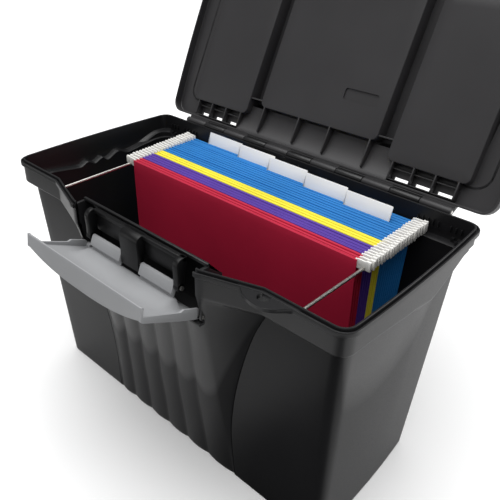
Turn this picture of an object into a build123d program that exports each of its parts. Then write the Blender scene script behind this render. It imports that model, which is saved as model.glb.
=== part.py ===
from build123d import *
import math
import os

# Portable hanging-file box: a tapered tub, a hinged organiser lid, a front draw latch,
# two steel rails and four colour groups of hanging folders.
# Frame: X to the right, Y to the back, Z up, origin on the floor under the middle of the tub.
# All sizes are in millimetres. The lid and the latch are modelled open.

# ---- folders and rails, which set the box's width and height -------------------------
FOLDER_HALF_WIDTH = 149.25
RAIL_BESIDE_FOLDER = 6.75     # rail axis outside the folder's edge
RAIL_HALF_SPACING = FOLDER_HALF_WIDTH + RAIL_BESIDE_FOLDER
RAIL_RADIUS = 1.5
RAIL_HEIGHT = 238.5

# ---- tub ---------------------------------------------------------------------------
RIM_ABOVE_RAIL = 22.5
TUB_HEIGHT = RAIL_HEIGHT + RIM_ABOVE_RAIL    # floor to the top of the inner lip
WALL = 2.6
FLOOR_THICKNESS = 3.0
CORNER_RADIUS = 12.0
SIDE_BOW = 3.2                # how far the middle of each side stands outside its ends
STEP_HEIGHT = 6.0             # step from the tapered body out to the collar
STEP_BELOW_RAIL = 2.5
COLLAR_BOTTOM = RAIL_HEIGHT - STEP_BELOW_RAIL
BODY_TOP = COLLAR_BOTTOM - STEP_HEIGHT

BASE_HALF_FRONT = 194.0       # half widths and ends of the footprint
BASE_HALF_BACK = 187.0
BASE_FRONT = -85.5
BASE_BACK = 78.0
BODY_HALF_FRONT = 205.5       # the same at the top of the tapered body
BODY_HALF_BACK = 199.5
BODY_FRONT = -97.0
BODY_BACK = 93.0
STEP_SIDE_FRONT = 5.8         # how far the collar stands outside the body
STEP_SIDE_BACK = 8.0
STEP_FRONT = 8.3
STEP_BACK = 7.4
COLLAR_HALF_FRONT = BODY_HALF_FRONT + STEP_SIDE_FRONT
COLLAR_HALF_BACK = BODY_HALF_BACK + STEP_SIDE_BACK
COLLAR_FRONT = BODY_FRONT - STEP_FRONT
COLLAR_BACK = BODY_BACK + STEP_BACK

FLANGE_REACH = 2.4            # rim ledge outside the collar
FLANGE_DEPTH = 4.7
LIP_RISE = 1.8                # inner lip above the ledge
LIP_THICKNESS = 1.8
GROOVE_WIDTH = 1.6
GROOVE_DEPTH = 2.2
FLANGE_TOP = TUB_HEIGHT - LIP_RISE
FLANGE_BOTTOM = FLANGE_TOP - FLANGE_DEPTH
LIP_OUTSIDE = LIP_THICKNESS - WALL

# latch recess
RECESS_HALF = 81.0
RECESS_DEPTH = 54.5           # below the top of the lip
RECESS_FLOOR = TUB_HEIGHT - RECESS_DEPTH
RECESS_BACK = COLLAR_FRONT + 8.7
RECESS_MOUTH = COLLAR_FRONT - 5.7    # back of the recess at the rim
RECESS_MOUTH_DEPTH = 3.0
RECESS_SLOPE_DEPTH = 12.0
CHEEK_THICKNESS = 3.5
CHEEK_FRONT = COLLAR_FRONT - 15.7

# bulge in the middle of the front wall
RAMP_HEAD = RECESS_HALF + 3.5        # half width of its front face at the collar
RAMP_FOOT = RAMP_HEAD + 52.5         # half width where its ramps leave the collar
RAMP_FLARE = 48.0             # run of the ramps behind the body's wall, inside the tub
BULGE_REACH = 17.2            # how far it stands in front of the collar
BULGE_STATIONS = (            # height, half width at the wall, half width in front, reach
    (0.0, 93.0, 90.0, -0.9),
    (60.0, 90.0, 84.0, 1.5),
    (BODY_TOP - 120.0, 95.5, 80.0, 5.8),
    (BODY_TOP - 70.0, 107.0, 79.5, 11.7),
    (BODY_TOP - 27.0, RAMP_FOOT - 16.0, RAMP_HEAD - 2.0, 19.35),
    (BODY_TOP, RAMP_FOOT - 3.0, RAMP_HEAD - 0.2, 23.8),
)
BULGE_ROOT = 16.0             # how far its body runs behind the front wall
WAVE_COUNT = 6                # upright scallops on the panel below the latch
WAVE_DEPTH = 1.8

# lock ear beside the latch
EAR_X = RAMP_FOOT + 4.8
EAR_Y = COLLAR_FRONT - 5.6
EAR_RADIUS = 9.2
EAR_HOLE_RADIUS = 5.0
EAR_TOP = FLANGE_TOP - 1.2
EAR_THICKNESS = 3.2
EAR_ROOT_HALF = 26.0

# finger grips under the rim at the two sides
GRIP_BACK = 50.0
GRIP_FRONT = -42.0
GRIP_DROP = 12.0
GRIP_WAVES = 4
GRIP_WAVE_DEPTH = 2.6

# ---- rail seats --------------------------------------------------------------------
WIDE_SEAT_INSET = 17.5        # second seats, for wider folders, inside the collar
WIDE_HALF_SPACING = COLLAR_HALF_BACK - WIDE_SEAT_INSET
RAIL_END_GAP = 0.1
SEAT_WIDTH = 9.0
SEAT_REACH = 2.6
SEAT_DEPTH = 7.0
SEAT_RISE = 3.0

# ---- folders -----------------------------------------------------------------------
FOLDER_TOP = RAIL_HEIGHT + 6.2
FOLDER_FLOOR_GAP = 6.7        # folder above the tub's floor
FOLDER_BOTTOM = FLOOR_THICKNESS + FOLDER_FLOOR_GAP
SHEET = 0.5
FOLDER_MOUTH = 3.8            # one folder, front to back, at its top
FOLDER_FOLD = 1.2             # and at its bottom fold
FOLDER_PITCH = 4.4
NECK_TOP = RAIL_HEIGHT - 2.3         # the stack narrows from here ...
NECK_BOTTOM = BODY_TOP - 0.5         # ... to here, where the tub narrows
NECK_PITCH = 4.12
FOLD_PITCH = 3.1
FIRST_FOLDER = -0.6
FIRST_FOLD = 3.0
FOLDER_COUNTS = (("red", 3), ("purple", 4), ("yellow", 3), ("blue", 12))
BAR_THICKNESS = 0.9
BAR_BOTTOM = RAIL_HEIGHT - 2.0
BAR_TOP = FOLDER_TOP - 0.3
HOOK_REACH = 13.5             # hook end beyond the folder's edge
HOOK_TOP = RAIL_HEIGHT + 11.0
HOOK_TIP_BOTTOM = RAIL_HEIGHT - 3.1
HOOK_DEPTH = 2.4              # hook, front to back
RAIL_GAP = 0.2                # rail to hook, above
RAIL_SIDE_GAP = 0.6           # and at each side
TAB_WIDTH = 51.6
TAB_TOP = RAIL_HEIGHT + 20.0
TAB_BOTTOM = RAIL_HEIGHT - 1.5
TAB_THICKNESS = 0.4
TAB_CENTRES = (-99.8, -47.3, 0.5, 53.7, 107.0)
TAB_FOLDERS = (11, 10, 9, 8, 7)

# ---- lid, closed sizes -------------------------------------------------------------
LID_OPEN_ANGLE = 116.0
HINGE_Y = COLLAR_BACK + 8.6
HINGE_Z = TUB_HEIGHT - 2.8
HINGE_RADIUS = 4.0
HINGE_ROD_RADIUS = 1.75
HINGE_HALF_LENGTH = COLLAR_HALF_BACK - 31.5
KNUCKLE_COUNT = 11
KNUCKLE_GAP = 0.6
RUNNING_GAP = 0.05
SKIRT_GAP = 0.3               # skirt above the tub's ledge
SKIRT_THICKNESS = 1.9
DECK_BOTTOM = TUB_HEIGHT + 8.6
SKIN = 2.4
LID_TOP = DECK_BOTTOM + 9.9
CROWN_HALF = COLLAR_HALF_BACK - 11.5     # raised middle of the lid
CROWN_FRONT = COLLAR_FRONT + 10.3
CROWN_BACK = COLLAR_BACK - 16.4
CROWN_CORNER = 16.0
WELL_BOTTOM = TUB_HEIGHT - 0.4
WELL_WALL = 2.2
CONSOLE_HALF = 77.0
CONSOLE_BACK = CROWN_BACK - 15.5
CONSOLE_FRONT = CROWN_FRONT + 3.0
TRAY_INNER = CONSOLE_HALF + 16.5
TRAY_OUTER = CROWN_HALF - 16.0
TRAY_BACK = CROWN_BACK - 2.0
TRAY_FRONT = CROWN_FRONT + 13.0
WELL_CORNER = 7.0
SLOT_Y = COLLAR_BACK - 4.8
SLOT_DEPTH = 5.0
SLOT_WIDTH = 15.0
SLOT_FIRST = TRAY_INNER + 19.5
SLOT_PITCH = 23.2
SLOT_COUNT = 3
RIB_THICKNESS = 2.0
RIB_HALF_SPACINGS = (20.4, CONSOLE_HALF - 7.0)
RIB_LIP_GAP = 0.8             # rib ends short of the tub's lip
LATCH_NOTCH_HALF = RECESS_HALF - 0.5     # cut in the lid's front for the latch
LATCH_NOTCH_BACK = RECESS_MOUTH + 0.2
NOSE_HALF = RECESS_HALF - 4.6        # ledge that the latch hooks over
NOSE_FRONT = COLLAR_FRONT - 12.2
NOSE_BOTTOM = TUB_HEIGHT + 2.6
NOSE_TOP = LID_TOP - 1.5

# organiser doors
DOOR_REST_GAP = 0.2           # door above the crown
DOOR_SKIN = 2.0
DOOR_OVERLAP = 2.6            # door beyond its tray on each side
DOOR_AXIS_Y = CROWN_BACK + 3.8
DOOR_AXIS_Z = LID_TOP - 3.9
DOOR_BARREL_RADIUS = 2.7
DOOR_PIN_RADIUS = 1.2
DOOR_LUG = 6.0
DOOR_SIDE_GAP = 0.5

# carry handle
HANDLE_ARM_HALF = CONSOLE_HALF - 17.0
HANDLE_ARM_WIDTH = 8.0
HANDLE_LENGTH = 48.0
HANDLE_BAR = 14.0
HANDLE_THICKNESS = 9.0
HANDLE_AXIS_Y = 4.0
HANDLE_AXIS_Z = LID_TOP - 9.5
HANDLE_PIN_RADIUS = 2.5
HANDLE_SIDE_GAP = 0.6

# ---- latch -------------------------------------------------------------------------
FLAP_AXIS_Y = COLLAR_FRONT - 11.2
FLAP_AXIS_Z = RECESS_FLOOR + 6.0
FLAP_HALF_WIDTH = RECESS_HALF - 1.5
FLAP_HEEL = 2.8               # flap below its axis
FLAP_LENGTH = 67.4
FLAP_OPEN_TILT = 67.0         # from upright
FLAP_FACE = -3.2              # outer face, from the axis towards the box
FLAP_DOME = 9.5               # how far the outer face domes out in the middle of its lip
FLAP_WALL = 2.3
FLAP_EDGE = 3.6               # top of the side walls
FLAP_STEP_END = 24.0
FLAP_STEP = 2.0
LIP_HEIGHT = 11.6
LIP_PLATE = 2.4
BOSS_RADIUS = 3.8
BOSS_WIDTH = 6.5
FLAP_PIN_RADIUS = 2.0
LEAF_RADIUS = 2.9
YOKE_AXIS_UP = 12.8           # yoke pin along the flap, from the flap's axis
YOKE_AXIS_IN = 17.4           # and across it, towards the box
YOKE_PIN_RADIUS = 1.25
YOKE_PIN_HEAD_RADIUS = 2.0
YOKE_PIN_HEAD = 1.5
YOKE_HALF_WIDTH = FLAP_HALF_WIDTH - 16.5
YOKE_CHEEK = 5.5
YOKE_FINGER_HALF = 12.0
LEAF_INNER = YOKE_FINGER_HALF + 1.5
LEAF_OUTER = YOKE_HALF_WIDTH - YOKE_CHEEK - 1.0
YOKE_FRONT = FLAP_AXIS_Y - 8.7
YOKE_BACK = FLAP_AXIS_Y + 3.0
YOKE_TOP = TUB_HEIGHT - 0.6
YOKE_BAR_FRONT = YOKE_BACK - 4.7
YOKE_BAR_HEIGHT = 3.9
YOKE_KNUCKLE = 4.0

os.makedirs("parts", exist_ok=True)


# ---- shared shapes -----------------------------------------------------------------
def plan(half_front, half_back, front, back, radius):
    """Box outline with gently bowed sides and round corners."""
    middle = (front + back) / 2
    half_middle = (half_front + half_back) / 2 + SIDE_BOW
    outline = make_face([
        Line((-half_front, front), (half_front, front)),
        ThreePointArc((half_front, front), (half_middle, middle), (half_back, back)),
        Line((half_back, back), (-half_back, back)),
        ThreePointArc((-half_back, back), (-half_middle, middle), (-half_front, front)),
    ])
    return fillet(outline.vertices(), radius)


def base_plan(inset=0.0):
    return plan(BASE_HALF_FRONT - inset, BASE_HALF_BACK - inset, BASE_FRONT + inset, BASE_BACK - inset,
                CORNER_RADIUS - inset)


def body_plan(inset=0.0):
    return plan(BODY_HALF_FRONT - inset, BODY_HALF_BACK - inset, BODY_FRONT + inset, BODY_BACK - inset,
                CORNER_RADIUS - inset)


def straight_collar_plan(grow=0.0):
    return plan(COLLAR_HALF_FRONT + grow, COLLAR_HALF_BACK + grow, COLLAR_FRONT - grow, COLLAR_BACK + grow,
                CORNER_RADIUS + grow)


def trapezium(foot, head, front, back):
    return make_face(Polyline((-foot, back), (-head, front), (head, front), (foot, back), close=True))


def ramp_plan(grow=0.0):
    """The bulge's outline at the collar, moved outwards by grow, reaching inside the front wall."""
    slope = math.atan2(BULGE_REACH, RAMP_FOOT - RAMP_HEAD)
    shift = grow * math.tan(slope / 2)
    run = (BULGE_REACH + grow + BULGE_ROOT) / math.tan(slope)
    head = RAMP_HEAD + shift
    return trapezium(head + run, head, COLLAR_FRONT - BULGE_REACH - grow, COLLAR_FRONT + BULGE_ROOT)


def collar_plan(grow=0.0):
    """The collar's outline with its bulge, moved outwards by grow."""
    return straight_collar_plan(grow) + ramp_plan(grow)


def at(face, height):
    return Pos(0, 0, height) * face


def prism(points, start, end):
    """Straight prism along X from a (Y, Z) outline."""
    outline = make_face(Plane.YZ * Polyline(*points, close=True))
    return Pos(start, 0, 0) * extrude(outline, end - start, dir=(1, 0, 0))


def block(x0, x1, y0, y1, z0, z1):
    return Pos((x0 + x1) / 2, (y0 + y1) / 2, (z0 + z1) / 2) * Box(x1 - x0, y1 - y0, z1 - z0)


def rod_x(radius, x0, x1, y, z):
    return Pos((x0 + x1) / 2, y, z) * Rot(0, 90, 0) * Cylinder(radius, x1 - x0)


def both_sides(shape):
    return shape + mirror(shape, about=Plane.YZ)


def turned(shape, y, z, degrees):
    """Turn a shape about an axis along X."""
    return Pos(0, y, z) * Rot(degrees, 0, 0) * Pos(0, -y, -z) * shape


def write(name, solids):
    """Write one node; a list holds separate solids of the same node."""
    solids = list(solids) if isinstance(solids, (list, tuple)) else [solids]
    found = [solid for shape in solids for solid in shape.solids()]
    node = found[0] if len(found) == 1 else Compound(children=found)
    node.label = name
    export_step(node, f"parts/{name}.step")


# ---- tub ---------------------------------------------------------------------------
RAIL_FRONT = COLLAR_FRONT + WALL + RAIL_END_GAP
RAIL_BACK = COLLAR_BACK - WALL - RAIL_END_GAP


def wall_line(height):
    """Y of the front wall's outer face at a height of the tapered body."""
    return BASE_FRONT + (BODY_FRONT - BASE_FRONT) * height / BODY_TOP


def bulge_section(station, inset=0.0, scallop=0.0):
    """One level of the bulge: ramps at the sides, a row of scallops in front."""
    height, foot, head, reach = station
    foot, head = foot - inset, head - inset
    wall = wall_line(height) + inset
    front = wall - reach
    root = wall_line(height) + BULGE_ROOT
    pitch = 2 * head / WAVE_COUNT
    edges = [Line((-foot, root), (-foot, wall)), Line((-foot, wall), (-head, front))]
    for i in range(WAVE_COUNT):
        left = -head + i * pitch
        if scallop:
            edges.append(ThreePointArc((left, front), (left + pitch / 2, front - scallop), (left + pitch, front)))
        else:
            edges.append(Line((left, front), (left + pitch, front)))
    edges += [Line((head, front), (foot, wall)), Line((foot, wall), (foot, root)), Line((foot, root), (-foot, root))]
    return at(make_face(edges), height)


def bulge_body(inset=0.0, scallop=0.0):
    return loft([bulge_section(station, inset, scallop) for station in BULGE_STATIONS], ruled=True)


def bulge_seat():
    """Room in the tapered body that the bulge fills."""
    sections = []
    for height, foot, head, reach in BULGE_STATIONS:
        root = wall_line(height) + BULGE_ROOT
        far = COLLAR_FRONT - BULGE_REACH
        sections.append(at(make_face(Polyline((-foot, root), (-foot, far), (foot, far), (foot, root), close=True)),
                           height))
    return loft(sections, ruled=True)


def grip_outline(low):
    """(Y, Z) outline of a finger grip: flat on top, wavy below."""
    top = COLLAR_BOTTOM + 1.0
    pitch = (GRIP_BACK - GRIP_FRONT) / GRIP_WAVES
    edges = [Line((GRIP_FRONT, low), (GRIP_FRONT, top)), Line((GRIP_FRONT, top), (GRIP_BACK, top)),
             Line((GRIP_BACK, top), (GRIP_BACK, low))]
    for i in range(GRIP_WAVES):
        right = GRIP_BACK - i * pitch
        edges.append(ThreePointArc((right, low), (right - pitch / 2, low - GRIP_WAVE_DEPTH), (right - pitch, low)))
    return make_face([Plane.YZ * edge for edge in edges])


def grips(inset=0.0):
    """Solids that carry the collar's outline down over the two finger grips."""
    low = COLLAR_BOTTOM - GRIP_DROP + GRIP_WAVE_DEPTH + inset
    column = extrude(at(straight_collar_plan(-inset), COLLAR_BOTTOM - GRIP_DROP - 2), GRIP_DROP + 4)
    start = BODY_HALF_BACK - 20
    reach = COLLAR_HALF_FRONT + SIDE_BOW + 5
    right = Pos(start, 0, 0) * extrude(grip_outline(low), reach - start, dir=(1, 0, 0))
    return (right & column) + (mirror(right, about=Plane.YZ) & column)


def recess_outline(inset=0.0):
    """(Y, Z) outline of the latch recess, grown into the tub by inset."""
    outside = COLLAR_FRONT - BULGE_REACH - 12
    above = TUB_HEIGHT + 2
    shoulder = TUB_HEIGHT - RECESS_MOUTH_DEPTH - inset * 0.4
    return [(outside, above), (RECESS_MOUTH + inset, above), (RECESS_MOUTH + inset, shoulder),
            (RECESS_BACK + inset, shoulder - RECESS_SLOPE_DEPTH), (RECESS_BACK + inset, RECESS_FLOOR - inset),
            (outside, RECESS_FLOOR - inset)]


def rail_seats():
    """Blocks inside the front and back walls, each notched for a rail."""
    shapes = Part()
    for x in (-WIDE_HALF_SPACING, -RAIL_HALF_SPACING, RAIL_HALF_SPACING, WIDE_HALF_SPACING):
        for y0, y1 in ((COLLAR_FRONT + 1, COLLAR_FRONT + WALL + SEAT_REACH),
                       (COLLAR_BACK - WALL - SEAT_REACH, COLLAR_BACK - 1)):
            shapes += block(x - SEAT_WIDTH / 2, x + SEAT_WIDTH / 2, y0, y1,
                            RAIL_HEIGHT - SEAT_DEPTH, RAIL_HEIGHT + SEAT_RISE)
    for x in (-WIDE_HALF_SPACING, -RAIL_HALF_SPACING, RAIL_HALF_SPACING, WIDE_HALF_SPACING):
        start = COLLAR_FRONT + WALL
        end = COLLAR_BACK - WALL
        shapes -= Pos(x, (start + end) / 2, RAIL_HEIGHT) * Rot(90, 0, 0) * Cylinder(RAIL_RADIUS, end - start)
        shapes -= block(x - RAIL_RADIUS, x + RAIL_RADIUS, start, end, RAIL_HEIGHT, RAIL_HEIGHT + SEAT_RISE + 1)
    return shapes


def knuckle_spans():
    """X spans of the lid hinge's knuckles, from left to right."""
    pitch = 2 * HINGE_HALF_LENGTH / KNUCKLE_COUNT
    return [(i * pitch - HINGE_HALF_LENGTH + KNUCKLE_GAP / 2, (i + 1) * pitch - HINGE_HALF_LENGTH - KNUCKLE_GAP / 2)
            for i in range(KNUCKLE_COUNT)]


def tub_knuckles():
    shapes = Part()
    for x0, x1 in knuckle_spans()[1::2]:
        shapes += rod_x(HINGE_RADIUS, x0, x1, HINGE_Y, HINGE_Z)
        shapes += prism([(COLLAR_BACK - 1, FLANGE_BOTTOM - 8), (COLLAR_BACK - 1, FLANGE_BOTTOM + 1),
                         (HINGE_Y - 2, HINGE_Z + 0.5), (HINGE_Y + HINGE_RADIUS - 0.8, HINGE_Z - 2)], x0, x1)
    return shapes - rod_x(HINGE_ROD_RADIUS, -HINGE_HALF_LENGTH - 1, HINGE_HALF_LENGTH + 1, HINGE_Y, HINGE_Z)


def ear():
    """Tab with a hole beside the latch, blended into the rim's ledge."""
    root = COLLAR_FRONT
    tip = EAR_Y - EAR_RADIUS * 0.8
    side = EAR_RADIUS * 0.6
    face = make_face(Polyline((EAR_X - EAR_ROOT_HALF, root - 4), (EAR_X - EAR_ROOT_HALF, root + 1),
                              (EAR_X + EAR_ROOT_HALF, root + 1), (EAR_X + EAR_ROOT_HALF, root - FLANGE_REACH),
                              (EAR_X + side, tip), (EAR_X - side, tip), close=True))
    face += Pos(EAR_X, EAR_Y) * Circle(EAR_RADIUS)
    return extrude(at(face, EAR_TOP - EAR_THICKNESS), EAR_THICKNESS)


def make_tub():
    outer = loft([at(base_plan(), 0), at(body_plan(), BODY_TOP)], ruled=True)
    outer = outer - bulge_seat() + bulge_body(scallop=WAVE_DEPTH)
    outer += loft([at(body_plan(), BODY_TOP), at(straight_collar_plan(), COLLAR_BOTTOM)], ruled=True)
    height, foot, head, reach = BULGE_STATIONS[-1]
    front = BODY_FRONT - reach
    outer += loft([at(trapezium(foot + RAMP_FLARE, head, front, BODY_FRONT + BULGE_ROOT), height),
                   at(ramp_plan(), COLLAR_BOTTOM)], ruled=True)
    outer += extrude(at(collar_plan(), COLLAR_BOTTOM), FLANGE_TOP - COLLAR_BOTTOM)
    outer += extrude(at(collar_plan(FLANGE_REACH), FLANGE_BOTTOM), FLANGE_DEPTH)
    outer += extrude(at(collar_plan(LIP_OUTSIDE), FLANGE_TOP), LIP_RISE)
    outer += grips()
    cheek = prism([(CHEEK_FRONT + 1.5, RECESS_FLOOR - 1), (CHEEK_FRONT, RECESS_FLOOR + 1.5), (CHEEK_FRONT, BODY_TOP),
                   (COLLAR_FRONT, BODY_TOP), (COLLAR_FRONT, RECESS_FLOOR - 1)],
                  RECESS_HALF, RECESS_HALF + CHEEK_THICKNESS)
    outer += both_sides(cheek)

    groove = collar_plan(LIP_OUTSIDE + GROOVE_WIDTH) - collar_plan(LIP_OUTSIDE)
    outer -= extrude(at(groove, FLANGE_TOP - GROOVE_DEPTH), GROOVE_DEPTH + 1)

    cavity = loft([at(base_plan(WALL), FLOOR_THICKNESS), at(body_plan(WALL), BODY_TOP)], ruled=True)
    cavity += bulge_body(WALL) & block(-BODY_HALF_FRONT, BODY_HALF_FRONT, COLLAR_FRONT - 2 * BULGE_REACH,
                                       BASE_FRONT + 2 * BULGE_ROOT, FLOOR_THICKNESS, BODY_TOP)
    cavity += loft([at(body_plan(WALL), BODY_TOP), at(straight_collar_plan(-WALL), COLLAR_BOTTOM)], ruled=True)
    inner_foot = foot + RAMP_FLARE - 4.0
    cavity += loft([at(trapezium(inner_foot, head - WALL, front + WALL, BODY_FRONT + BULGE_ROOT), height),
                    at(ramp_plan(-WALL), COLLAR_BOTTOM)], ruled=True)
    cavity += extrude(at(collar_plan(-WALL), COLLAR_BOTTOM), TUB_HEIGHT - COLLAR_BOTTOM + 1)
    cavity += grips(WALL)
    housing = prism(recess_outline(WALL), -RECESS_HALF - WALL, RECESS_HALF + WALL)
    tub = outer - cavity + (housing & outer)
    tub -= prism(recess_outline(), -RECESS_HALF, RECESS_HALF)

    tub += rail_seats() + tub_knuckles() + ear()
    tub -= Pos(EAR_X, EAR_Y, EAR_TOP - EAR_THICKNESS / 2) * Cylinder(EAR_HOLE_RADIUS, 4 * EAR_THICKNESS)
    tub -= rod_x(FLAP_PIN_RADIUS, -RECESS_HALF - CHEEK_THICKNESS - 1, RECESS_HALF + CHEEK_THICKNESS + 1,
                 FLAP_AXIS_Y, FLAP_AXIS_Z)
    return tub


def make_rails():
    middle = (RAIL_FRONT + RAIL_BACK) / 2
    rail = Rot(90, 0, 0) * Cylinder(RAIL_RADIUS, RAIL_BACK - RAIL_FRONT)
    return [Pos(side * RAIL_HALF_SPACING, middle, RAIL_HEIGHT) * rail for side in (-1, 1)]


# ---- folders -----------------------------------------------------------------------
def folder(index):
    """A folded sheet, open at the top, that narrows with the tub."""
    top = FIRST_FOLDER + index * FOLDER_PITCH
    neck = FIRST_FOLDER + index * NECK_PITCH
    fold = FIRST_FOLD + index * FOLD_PITCH
    bottom = FOLDER_BOTTOM
    crease = fold + FOLDER_FOLD / 2
    return prism([(top, FOLDER_TOP), (top, NECK_TOP), (neck, NECK_BOTTOM), (fold, bottom),
                  (fold + FOLDER_FOLD, bottom), (neck + FOLDER_MOUTH, NECK_BOTTOM), (top + FOLDER_MOUTH, NECK_TOP),
                  (top + FOLDER_MOUTH, FOLDER_TOP), (top + FOLDER_MOUTH - SHEET, FOLDER_TOP),
                  (top + FOLDER_MOUTH - SHEET, NECK_TOP), (neck + FOLDER_MOUTH - SHEET, NECK_BOTTOM),
                  (crease + 0.05, bottom + SHEET), (crease - 0.05, bottom + SHEET), (neck + SHEET, NECK_BOTTOM),
                  (top + SHEET, NECK_TOP), (top + SHEET, FOLDER_TOP)],
                 -FOLDER_HALF_WIDTH, FOLDER_HALF_WIDTH)


def mouth_front(index):
    """Y of the inner face of a folder's front panel, at its mouth."""
    return FIRST_FOLDER + index * FOLDER_PITCH + SHEET


def hanger(index):
    """Plastic bar in a folder's mouth, with a hook over each rail."""
    front = mouth_front(index)
    bar = block(-FOLDER_HALF_WIDTH - 1, FOLDER_HALF_WIDTH + 1, front, front + BAR_THICKNESS, BAR_BOTTOM, BAR_TOP)
    over = RAIL_HEIGHT + RAIL_RADIUS + RAIL_GAP
    inside = RAIL_HALF_SPACING - RAIL_RADIUS - RAIL_SIDE_GAP
    outside = RAIL_HALF_SPACING + RAIL_RADIUS + RAIL_SIDE_GAP
    tip = FOLDER_HALF_WIDTH + HOOK_REACH
    hook = block(FOLDER_HALF_WIDTH + 0.4, tip, front, front + HOOK_DEPTH, over, HOOK_TOP)
    hook += block(outside, tip, front, front + HOOK_DEPTH, HOOK_TIP_BOTTOM, over)
    hook += block(FOLDER_HALF_WIDTH + 0.4, inside, front, front + HOOK_DEPTH, BAR_BOTTOM, over)
    return bar + both_sides(hook)


def tab(centre, index):
    """Index tab standing in a folder's mouth against its front panel, above the hanger bar."""
    front = mouth_front(index) + BAR_THICKNESS
    return block(centre - TAB_WIDTH / 2, centre + TAB_WIDTH / 2, front, front + TAB_THICKNESS, TAB_BOTTOM, TAB_TOP)


# ---- lid ---------------------------------------------------------------------------
def rounded_block(x0, x1, y0, y1, z0, z1, radius):
    face = Pos((x0 + x1) / 2, (y0 + y1) / 2) * RectangleRounded(x1 - x0, y1 - y0, radius)
    return extrude(at(face, z0), z1 - z0)


def crown(inset, z0, z1):
    return rounded_block(-CROWN_HALF + inset, CROWN_HALF - inset, CROWN_FRONT + inset, CROWN_BACK - inset,
                         z0, z1, CROWN_CORNER - inset)


def well(x0, x1, y0, y1):
    """Outside and inside of a tray that hangs below the lid's deck."""
    outside = rounded_block(x0, x1, y0, y1, WELL_BOTTOM, LID_TOP, WELL_CORNER)
    inside = rounded_block(x0 + WELL_WALL, x1 - WELL_WALL, y0 + WELL_WALL, y1 - WELL_WALL,
                           WELL_BOTTOM + WELL_WALL, LID_TOP + 1, WELL_CORNER - WELL_WALL)
    return outside, inside


def door_lug(x0, x1):
    """Ear on the deck that carries a door's hinge rod."""
    lug = rod_x(DOOR_BARREL_RADIUS, x0, x1, DOOR_AXIS_Y, DOOR_AXIS_Z)
    return lug + block(x0, x1, DOOR_AXIS_Y - DOOR_BARREL_RADIUS, DOOR_AXIS_Y + DOOR_BARREL_RADIUS,
                       DECK_BOTTOM + SKIN - 0.5, DOOR_AXIS_Z)


def make_lid():
    """The lid in its closed place."""
    skirt_bottom = FLANGE_TOP + SKIRT_GAP
    deck_top = DECK_BOTTOM + SKIN
    skirt = collar_plan(FLANGE_REACH) - collar_plan(FLANGE_REACH - SKIRT_THICKNESS)
    lid = extrude(at(skirt, skirt_bottom), DECK_BOTTOM - skirt_bottom)
    lid += extrude(at(collar_plan(FLANGE_REACH), DECK_BOTTOM), SKIN)
    lid += crown(0, DECK_BOTTOM, LID_TOP)
    lid -= crown(SKIN, DECK_BOTTOM - 1, LID_TOP - SKIN)

    left = well(-TRAY_OUTER, -TRAY_INNER, TRAY_FRONT, TRAY_BACK)
    right = well(TRAY_INNER, TRAY_OUTER, TRAY_FRONT, TRAY_BACK)
    console = well(-CONSOLE_HALF, CONSOLE_HALF, CONSOLE_FRONT, CONSOLE_BACK)
    lid += left[0] + right[0] + console[0]
    lid -= left[1] + right[1] + console[1]

    for half in RIB_HALF_SPACINGS:
        rib = block(half - RIB_THICKNESS / 2, half + RIB_THICKNESS / 2, CONSOLE_BACK - 1,
                    COLLAR_BACK - WALL - RIB_LIP_GAP, WELL_BOTTOM, DECK_BOTTOM + 1)
        lid += both_sides(rib)
    for i in range(SLOT_COUNT):
        x = SLOT_FIRST + i * SLOT_PITCH
        slot = block(x - SLOT_WIDTH / 2, x + SLOT_WIDTH / 2, SLOT_Y - SLOT_DEPTH / 2, SLOT_Y + SLOT_DEPTH / 2,
                     DECK_BOTTOM - 1, deck_top + 1)
        lid -= both_sides(slot)

    lid -= block(-LATCH_NOTCH_HALF, LATCH_NOTCH_HALF, COLLAR_FRONT - BULGE_REACH - 10, LATCH_NOTCH_BACK,
                 skirt_bottom - 1, LID_TOP + 1)
    nose = block(-NOSE_HALF, NOSE_HALF, NOSE_FRONT, CROWN_FRONT + 1, NOSE_BOTTOM, NOSE_TOP)
    nose -= block(-NOSE_HALF + SKIN, NOSE_HALF - SKIN, NOSE_FRONT + SKIN, CROWN_FRONT - 1, NOSE_BOTTOM - 1,
                  NOSE_TOP - SKIN)
    lid += nose

    for x0, x1 in knuckle_spans()[::2]:
        lid += rod_x(HINGE_RADIUS, x0, x1, HINGE_Y, HINGE_Z)
        lid += prism([(COLLAR_BACK + 1, skirt_bottom + 0.4), (COLLAR_BACK + 1, DECK_BOTTOM + 1),
                      (HINGE_Y + HINGE_RADIUS - 0.6, HINGE_Z + 1.6), (HINGE_Y - 3, HINGE_Z + 1.7)], x0, x1)
    lid -= rod_x(HINGE_ROD_RADIUS + RUNNING_GAP, -HINGE_HALF_LENGTH - 1, HINGE_HALF_LENGTH + 1, HINGE_Y, HINGE_Z)

    lugs = door_lug(TRAY_INNER, TRAY_INNER + DOOR_LUG) + door_lug(TRAY_OUTER - DOOR_LUG, TRAY_OUTER)
    lugs -= rod_x(DOOR_PIN_RADIUS, TRAY_INNER - 1, TRAY_OUTER + 1, DOOR_AXIS_Y, DOOR_AXIS_Z)
    lid += both_sides(lugs)

    inner_wall = CONSOLE_HALF - WELL_WALL
    outer_arm = HANDLE_ARM_HALF + HANDLE_ARM_WIDTH / 2 + HANDLE_SIDE_GAP
    boss = block(outer_arm, inner_wall + 1, HANDLE_AXIS_Y - 6, HANDLE_AXIS_Y + 6, WELL_BOTTOM + 1, LID_TOP - 3)
    boss -= rod_x(HANDLE_PIN_RADIUS, outer_arm - 1, inner_wall, HANDLE_AXIS_Y, HANDLE_AXIS_Z)
    lid += both_sides(boss)
    return lid


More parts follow.
